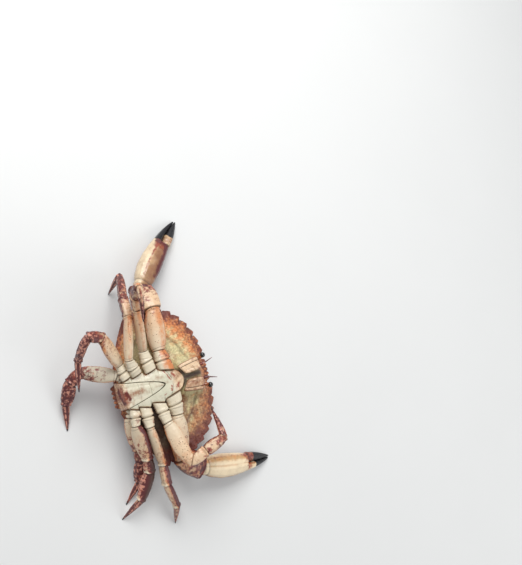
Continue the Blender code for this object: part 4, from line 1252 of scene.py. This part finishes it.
def blend_at(before, after):
    """How the two articles at a joint turn towards each other where the limb folds sharply."""
    bend = math.degrees(math.acos(np.clip(before @ after, -1, 1)))
    share = np.clip((bend - FOLD_FROM) / FOLD_OVER, 0, 1) * FOLD_SHARE
    return unit(before + share * after), unit(after + share * before)


def curve(start, end, leave, arrive, shares):
    """Points and directions along a cubic between two places with a direction at each end."""
    t = shares[:, None]
    length = np.linalg.norm(end - start)
    a, b = leave * length, arrive * length
    way = ((6 * t**2 - 6 * t) * start + (3 * t**2 - 4 * t + 1) * a
           + (-6 * t**2 + 6 * t) * end + (3 * t**2 - 2 * t) * b)
    return cubic(t, start, a, end, b), unit(way)


def end_rounding(rings, both, length, reach=0.9, depth=0.08):
    """Draws the rings in over a short reach at the first end or both, and says how near each is."""
    share = np.linspace(0, 1, len(rings))
    near = np.clip(1 - share * length / reach, 0, 1) ** 2
    if both:
        near = np.maximum(near, np.clip(1 - (1 - share) * length / reach, 0, 1) ** 2)
    middle = rings.mean(axis=1, keepdims=True)
    return middle + (rings - middle) * (1 - depth * near)[:, None, None], near


def carved(rings, normals, relief, calm):
    """The rings moved outwards by a relief that is calmed by a share for each ring."""
    return rings + normals * (relief * calm[:, None])[..., None]


def limb_relief(part, share, turn, length, settings, points):
    """Height of an article's detail over its skin, and its seams: seams between fused articles,
    a raised collar and two knuckles at the far end, ridges or flutes along it, and grain."""
    around = turn[None, :]
    along = share[:, None] * length
    left = (1 - share)[:, None] * length
    relief = 0.12 * waves(points, 2.6, 21)
    seams = np.zeros_like(relief)
    if part in ("merus", "carpus", "propodus"):
        relief += 0.45 * bell(left - 1.3, 0.8) - 0.3 * bell(left - 3.2, 1.0)
        for knuckle in (math.pi / 2, 3 * math.pi / 2):
            relief += 0.9 * bell(left - 1.2, 1.5) * bell(around - knuckle, 0.3)
    if part == "base":
        crease = along - (0.47 + 0.03 * np.cos(around)) * length
        fused = along - (0.64 - 0.04 * np.cos(around)) * length
        relief += 0.7 * bell(crease + 2.4, 1.6) + 0.5 * bell(crease - 1.7, 1.0) - 1.3 * bell(crease, 0.75)
        relief += 0.4 * bell(left - 1.2, 1.0) - 0.35 * bell(fused, 0.45)
        seams += 0.72 * bell(crease, settings.suture_width * 0.8) + 0.25 * bell(fused, 0.35)
    for ridge in LIMB_RIDGES.get(part, ()):
        relief += settings.ridge_height * bell(around - ridge, 0.2)
    if part == "merus":
        ring = bell(along - 2.6 - 0.8 * np.cos(around), 0.4)
        seams += 0.45 * ring
        relief -= ring * 0.4
    if part == "dactyl":
        relief += 0.32 * np.cos(6 * around) * (1 - share[:, None]) ** 0.5 * step(0, 2, along)
    edges = 0.5 + 0.5 * np.cos(2 * around)
    relief += (0.10 + 0.18 * edges) * grains(points, 1.3, 31)
    return relief, np.clip(seams, 0, 1)


def limb_masks(limb, number, share, turn, length, normals, near, seams):
    """Where an article is dark red, orange-edged, blotched, dotted or horny. Its dark side is the
    one that faces down, but for two legs that are turned."""
    part = ARTICLES[number]
    base, beyond = part == "base", number > 1
    along = share[:, None]
    turned = limb in DARK_WAYS
    shade = normals @ unit(DARK_WAYS.get(limb, -UP))
    low, high = (0.0, 0.0) if base else DARKNESS[limb][number - 1:number + 1]
    start, end = (-0.1, 0.45) if turned else (-0.7, 0.5)
    if not beyond:
        start, end = 0.3, 0.8
    light = limb == ("left", 3) and part == "merus"
    dark = low + (high - low) * along + (0.3 if base or light else 0.7) * step(start, end, shade)
    edge = (0.4 if light else 1.0) * step(0.82, 0.99, np.abs(np.cos(turn)))[None, :]
    warmth = 0.3 if turned else 0.6
    if base:
        blush = (warmth - 0.1) * step(0.0, 0.6, shade) + 0.25 * edge
    else:
        blush = 0.3 * step(0.5, 1.0, along) + warmth * step(-0.35, 0.5, shade) + 0.42 * edge
    pale = 0.36 + 0.12 * step(-0.2, 0.8, normals[..., 2]) - 0.3 * step(0.0, 0.4, shade)
    fresh = {"base": 0.8, "merus": 0.55 * step(0.8, 0.0, along)}.get(part, 0.0)
    seam = np.maximum(0.85 * seams, 0.6 * near[:, None])
    if limb == ("right", 1) and not beyond:
        mouthward = step(-0.5 if base else -0.2, 0.3, normals[..., 0] + 0.25 * edge)
        blush = blush + (0.9 if base else 0.5) * mouthward
        dark = dark + 0.36 * base * mouthward * step(0.1, 0.4, along)
    if limb == ("left", 1):
        pale = pale - 0.25
        blush = blush + 0.45 * (part == "carpus")
    if limb == ("left", 4) and beyond:
        seam = np.maximum(seam, 0.65 * step(0.2, 0.6, shade))
    if limb == ("right", 5) and part == "merus":
        fresh = 0.85
    if turned and beyond:
        pale = 0.85 - 0.95 * step(-0.1, 0.4, shade)
    if turned and part != "dactyl":
        # Pale skin at the joints, on the light side
        joint = bell((1 - along) * length - 0.5, 2.8) * step(0.35, -0.1, shade)
        fresh = np.maximum(fresh, 0.8 * joint)
        dark = dark - 0.75 * joint
        blush = blush - 0.5 * joint
    masks = {"dark": dark, "blush": blush, "pale": pale, "seam": seam, "fresh": fresh,
             "dots": 0.32 + 0.28 * along if part == "merus" else 0.24}
    if part == "dactyl":
        masks["pale"] = 0.4 + 0.45 * np.cos(4 * turn)[None, :] - 0.2 * along
        masks["horn"] = step(0.86, 0.97, along)
    return masks


def build_limb(side, pair, settings):
    """All articles of one limb but the hand: superellipses swept along a cubic between two
    joints, slid to lie on the joints' planes, with the relief added outwards."""
    places = joints(side, pair)
    directions = [unit(b - a) for a, b in zip(places, places[1:])]
    axis = hinge_axis(side, pair, directions[1])
    leaving, arriving = list(directions), list(directions)
    for i in range(len(directions) - 1):
        arriving[i], leaving[i + 1] = blend_at(directions[i], directions[i + 1])
    slant = math.radians(ROOT_SLANT[pair])
    faces = [np.array([-math.sin(slant), SIDES[side] * math.cos(slant), 0.0])]
    faces += [unit(before + after) for before, after in zip(arriving, leaving[1:])]
    name = f"{side}_leg{pair}" if pair > 1 else f"{side}_cheliped"
    for i, part in enumerate(ARTICLES if pair > 1 else ARTICLES[:3]):
        length = LENGTHS[pair][i]
        share = np.linspace(0, 1, int(length * RINGS_PER_MM) + 12)
        path, ways = curve(places[i], places[i + 1], leaving[i], arriving[i], share)
        cut_axis = UP if part == "base" else axis
        across = unit(cut_axis - (ways @ cut_axis)[:, None] * ways)
        turn, wide, thick = superellipse(
            CLAW_LIMB_SIDES if pair == 1 else LEG_SIDES,
            BOXY_POWER if part in ("base", "carpus") else ROUND_POWER)
        breadths = BREADTHS[pair][i] * run(BREADTH_SHAPES[part], share)
        thicknesses = THICKNESSES[pair][i] * run(THICKNESS_SHAPES[part], share)
        rings = sweep(path, np.cross(ways, across), across, breadths / 2, thicknesses / 2, wide, thick)
        start = (places[i] + faces[i] * GAP / 2 * (i > 0), faces[i])
        rings = slid(rings, 0, ways[0], start, (1 - share) ** 2)
        if i + 1 < len(faces):
            end = (places[i + 1] - faces[i + 1] * GAP / 2, faces[i + 1])
            rings = slid(rings, -1, ways[-1], end, share ** 2)
        tip = part == "dactyl"
        rings, near = end_rounding(rings, not tip, length)
        normals = grid_normals(rings, True)
        relief, seams = limb_relief(part, share, turn, length, settings, rings)
        calm = np.clip(np.minimum(share, 1 if tip else 1 - share) * length / CALM_END, 0, 1)
        rings = carved(rings, normals, relief, calm)
        masks = limb_masks((side, pair), i, share, turn, length, normals, near, seams)
        lay_tube(f"{name}_{part}_skin", rings, limb_skin, masks, [f"{name}_{part}"])
    return places, directions


class CRAB_OT_legs(bpy.types.Operator):
    """The eight walking legs, each of five articles"""
    bl_idname = "crab.legs"
    bl_label = "Walking legs"

    def execute(self, context):
        for side in SIDES:
            for pair in (2, 3, 4, 5):
                build_limb(side, pair, context.scene.rock_crab)
        return {"FINISHED"}


def claw_rings(claw, along, lower, upper, thick, count, sides):
    """Rings of superellipses across a finger or hand, from its outline read at even shares."""
    root, way, toward, across, length = claw
    shares = np.linspace(along[0], along[-1], count)
    smoothing = np.array([1, 2, 3, 2, 1]) / 9
    low, high, deep = (np.convolve(np.pad(np.interp(shares, along, values), 2, "edge"), smoothing, "valid")
                       for values in (lower, upper, thick))
    turn, wide, depth = superellipse(sides, HAND_POWER)
    centre = root + way * (length * shares)[:, None] + toward * ((high - low) / 2)[:, None]
    rings = sweep(centre, toward[None], across[None], (high + low) / 2, deep / 2, wide, depth)
    return rings, shares, turn


def tooth_row(shares, start, end, count):
    """Rounded teeth along a finger's biting edge, largest in the middle of the row."""
    place = (shares - start) / (end - start)
    inside = (place > 0) & (place < 1)
    size = np.sin(np.clip(place, 0, 1) * math.pi) ** 0.5
    return np.where(inside, np.abs(np.sin(place * count * math.pi)) ** 0.8 * size, 0.0)


class CRAB_OT_claws(bpy.types.Operator):
    """The two claw-bearing limbs, with their hands and movable fingers"""
    bl_idname = "crab.claws"
    bl_label = "Claws"

    def execute(self, context):
        for side in SIDES:
            places, directions = build_limb(side, 1, context.scene.rock_crab)
            wrist, way = directions[2:4]
            across = unit(UP - (UP @ way) * way)
            # The movable finger lies on the side nearer the mouth
            toward = np.cross(across, way) * -SIDES[side]
            claw = places[3], way, toward, across, LENGTHS[1][3]
            self.hand(side, claw, unit(wrist + way))
            self.finger(side, claw)
        return {"FINISHED"}

    def hand(self, side, claw, wrist):
        """Hand and fingers: an outline swept along the line to the tip, with ridges and teeth."""
        root, way, _, _, length = claw
        rings, shares, turn = claw_rings(
            claw, CLAW_ALONG + FINGER_ALONG, CLAW_LOWER + FINGER_LOWER, CLAW_UPPER + FINGER_UPPER,
            CLAW_THICK + FINGER_THICK, *HAND_GRID)
        rings = slid(rings, 0, way, (root + wrist * GAP / 2, wrist), np.clip(1 - shares / 0.06, 0, 1) ** 1.5)
        rings, near = end_rounding(rings, False, length * shares[-1])
        a = shares[:, None]
        around = turn[None, :]
        outer = np.cos(around)
        finger = step(FINGER_ALONG[0], FINGER_ALONG[1] + 0.03, a)
        palm = 1 - finger
        relief = 0.3 * sum(bell(around - angle, 0.1) for angle in PALM_KEELS) * palm * step(0.02, 0.1, a)
        relief = relief + 0.5 * bell((a - 0.035) * length, 1.2) - 0.5 * bell((a - 0.07) * length, 1.4)
        bite = bell(around, 0.5) + bell(around - 2 * math.pi, 0.5)
        relief = relief + 0.9 * (tooth_row(shares, 0.65, 0.94, 5)[:, None] * bite)
        relief = relief + 0.3 * finger * (bell(around - 2.2, 0.16) + bell(around - 4.1, 0.16))
        relief = relief + 0.1 * waves(rings, 2.8, 41) * palm + 0.16 * grains(rings, 1.4, 43) * palm
        calm = np.clip(shares * length / CALM_END, 0, 1)
        rings = carved(rings, grid_normals(rings, True), relief, calm)
        edge = a + 0.018 * waves(rings, 5.0, 47)
        if side == "right":
            # Cream along the outer third, a red-brown line beside it, tan and brown towards the mouth; the
            # brown wash over the palm is painted shade
            blush = step(-0.5, -0.25, outer) * (0.62 + 0.3 * step(0.0, 0.8, outer))
            far = bell(a - 0.57, 0.07) * step(-0.95, -0.4, outer)
            red = 0.56 * bell(outer + 0.3, 0.12) * step(0.06, 0.2, a) * palm + 0.6 * far
            red = red + 0.72 * step(0.2, 0.7, outer) * step(0.15, 0.5, a) * palm
            dark = 0.9 * bell(a - 0.605, 0.05) * step(-1.0, -0.5, outer)
            dark = dark + step(0.2, 0.65, outer) * step(0.05, 0.3, a) * palm
            black = step(0.635, 0.65, edge)
            # Painted shade: brown over the whole right hand, heaviest towards the mouth
            mottle = 0.34 + 0.46 * step(-0.4, 0.2, outer) + 0.2 * far
        else:
            # Cream with an orange band along the mouth side and a tan lower edge
            blush = bell(outer - 0.66, 0.3) + 0.7 * step(-0.7, -1.0, outer) + 0.5 * bell(outer - 0.05, 0.08)
            red = 0.75 * bell(a - 0.64, 0.07) * step(-1.0, 0.2, outer) + 0.4 * bell(outer - 0.8, 0.14)
            dark = 0.5 * step(-0.85, -1.0, outer) * palm
            black = step(0.75, 0.765, edge)
            mottle = 0.04
        under = step(0.1, 0.7, -np.sin(around))
        masks = {
            "blush": np.maximum(blush, under), "red": np.maximum(red, under * 0.75),
            "dark": np.maximum(dark, under * 0.6), "dots": 0.2 + 0.25 * step(-0.4, 0.4, outer),
            "horn": black, "mottle": mottle,
            "seam": np.maximum(0.8 * near[:, None], 0.5 * bell((a - 0.07) * length, 0.7))}
        lay_tube(f"{side}_hand_skin", rings, claw_skin, masks, [f"{side}_cheliped_palm"])

    def finger(self, side, claw):
        """Movable finger: black but for its red-brown base, ribbed along, with a row of teeth."""
        length = claw[-1]
        rings, shares, turn = claw_rings(
            claw, THUMB_ALONG, THUMB_LOWER, THUMB_UPPER, THUMB_THICK, *THUMB_GRID)
        a = shares[:, None]
        around = turn[None, :]
        ribs = sum(bell(around - angle, 0.15) for angle in THUMB_RIBS)
        relief = 0.8 * tooth_row(shares, 0.66, 0.94, 5)[:, None] * bell(around - math.pi, 0.5)
        relief = relief + 0.28 * ribs * step(0.64, 0.68, a)
        relief = relief + 0.5 * bell((a - 0.655) * length, 1.0) - 0.5 * bell((a - 0.68) * length, 1.2)
        calm = np.clip((shares - shares[0]) * length / CALM_END, 0, 1)
        rings = carved(rings, grid_normals(rings, True), relief, calm)
        start, blush, red, dark = THUMB_LOOKS[side]
        masks = {"blush": blush, "red": red, "dark": dark, "mottle": 0.1,
                 "horn": step(start, start + 0.015, a + 0.012 * waves(rings, 4.0, 53)),
                 "seam": 0.7 * bell((a - THUMB_ALONG[0]) * length, 0.8)}
        lay_tube(f"{side}_finger_skin", rings, claw_skin, masks, [f"{side}_cheliped_finger"])


# Stage

def aim_ray():
    """The direction of the aim pixel in the camera's own axes."""
    return np.array([
        (AIM_PIXEL[0] - PICTURE_WIDTH / 2) / FOCAL_PIXELS,
        (PICTURE_HEIGHT / 2 - AIM_PIXEL[1]) / FOCAL_PIXELS,
        -1.0])


def facing(back, up):
    """Three axes as columns: level, upwards as seen, and back."""
    right = unit(np.cross(up, back))
    return np.column_stack([right, np.cross(back, right), back])


def camera_axes():
    """The camera's right, up and back directions: the line through the aim pixel leans by the
    tilt towards the crab's rear, and the picture's top stays level with the second axis."""
    tilt = math.radians(AIM_TILT)
    upwards = np.array([0.0, 1.0, 0.0])
    world = facing(np.array([-math.sin(tilt), 0.0, math.cos(tilt)]), upwards)
    return world @ facing(-unit(aim_ray()), upwards).T


def hang(context, thing, axes, place):
    """Puts a light or camera at a place, with its axes as columns."""
    matrix = np.eye(4)
    matrix[:3, :3] = axes
    matrix[:3, 3] = place
    holder = bpy.data.objects.new(thing.name, thing)
    # A matrix is filled column by column
    holder.matrix_world = matrix.T
    context.scene.collection.objects.link(holder)
    return holder


class CRAB_OT_stage(bpy.types.Operator):
    """Pale floor, soft lights and the camera"""
    bl_idname = "crab.stage"
    bl_label = "Stage"

    def execute(self, context):
        context.scene.view_settings.view_transform = "Standard"
        self.floor(context)
        self.lights(context)
        self.camera(context)
        return {"FINISHED"}

    def floor(self, context):
        """A square of pale paper that the crab lies on."""
        size = FLOOR_REACH
        mesh = bpy.data.meshes.new("floor")
        corners = [(-size, -size, 0), (size, -size, 0), (size, size, 0), (-size, size, 0)]
        mesh.from_pydata(corners, [], [(0, 1, 2, 3)])
        paper = Finish("floor paper")
        colour = paper.clouded(6.0, 4.0, paper.tone("floor"), paper.tone("floor", 0.96))
        paper.feed(paper.shader["Base Color"], colour)
        paper.feed(paper.shader["Roughness"], 0.85)
        mesh.materials.append(paper.material)
        floor = bpy.data.objects.new("floor", mesh)
        context.scene.collection.objects.link(floor)

    def lights(self, context):
        """An even sky, and two square lights that face the crab."""
        world = bpy.data.worlds.new("studio")
        context.scene.world = world
        world.use_nodes = True
        back = world.node_tree.nodes["Background"]
        back.inputs["Color"].default_value = SKY_COLOUR
        back.inputs["Strength"].default_value = SKY_STRENGTH
        for name, place, size in LIGHTS:
            light = bpy.data.lights.new(name, "AREA")
            light.energy = getattr(context.scene.rock_crab, f"{name}_power")
            light.size = size
            hang(context, light, facing(unit(place), UP), place)

    def camera(self, context):
        """The camera stands back from the aim point along the aim pixel's line."""
        axes = camera_axes()
        place = (np.array(AIM_POINT) - axes @ (aim_ray() * AIM_DISTANCE)) * MM + BODY_PLACE
        camera = bpy.data.cameras.new("camera")
        camera.sensor_fit = "VERTICAL"
        camera.sensor_height = SENSOR_HEIGHT
        camera.lens = SENSOR_HEIGHT * FOCAL_PIXELS / PICTURE_HEIGHT
        camera.clip_start = 0.01
        context.scene.camera = hang(context, camera, axes, place)


class CRAB_PT_panel(bpy.types.Panel):
    """The crab's pieces and settings"""
    bl_label = "Rock Crab"
    bl_idname = "CRAB_PT_panel"
    bl_space_type = "VIEW_3D"
    bl_region_type = "UI"
    bl_category = "Crab"

    def draw(self, context):
        for operator in OPERATORS:
            self.layout.operator(operator.bl_idname)
        for name in RockCrabSettings.__annotations__:
            self.layout.prop(context.scene.rock_crab, name)


OPERATORS = (CRAB_OT_stage, CRAB_OT_shell, CRAB_OT_sternum, CRAB_OT_abdomen, CRAB_OT_mouth, CRAB_OT_eyes,
             CRAB_OT_legs, CRAB_OT_claws)
CLASSES = (RockCrabSettings,) + OPERATORS + (CRAB_PT_panel,)


def register():
    for cls in CLASSES:
        bpy.utils.register_class(cls)
    bpy.types.Scene.rock_crab = PointerProperty(type=RockCrabSettings)


def unregister():
    del bpy.types.Scene.rock_crab
    for cls in reversed(CLASSES):
        bpy.utils.unregister_class(cls)


def main():
    register()
    bpy.ops.crab.stage()
    bpy.ops.crab.shell()
    bpy.ops.crab.sternum()
    bpy.ops.crab.abdomen()
    bpy.ops.crab.mouth()
    bpy.ops.crab.eyes()
    bpy.ops.crab.legs()
    bpy.ops.crab.claws()


if __name__ == "__main__":
    main()
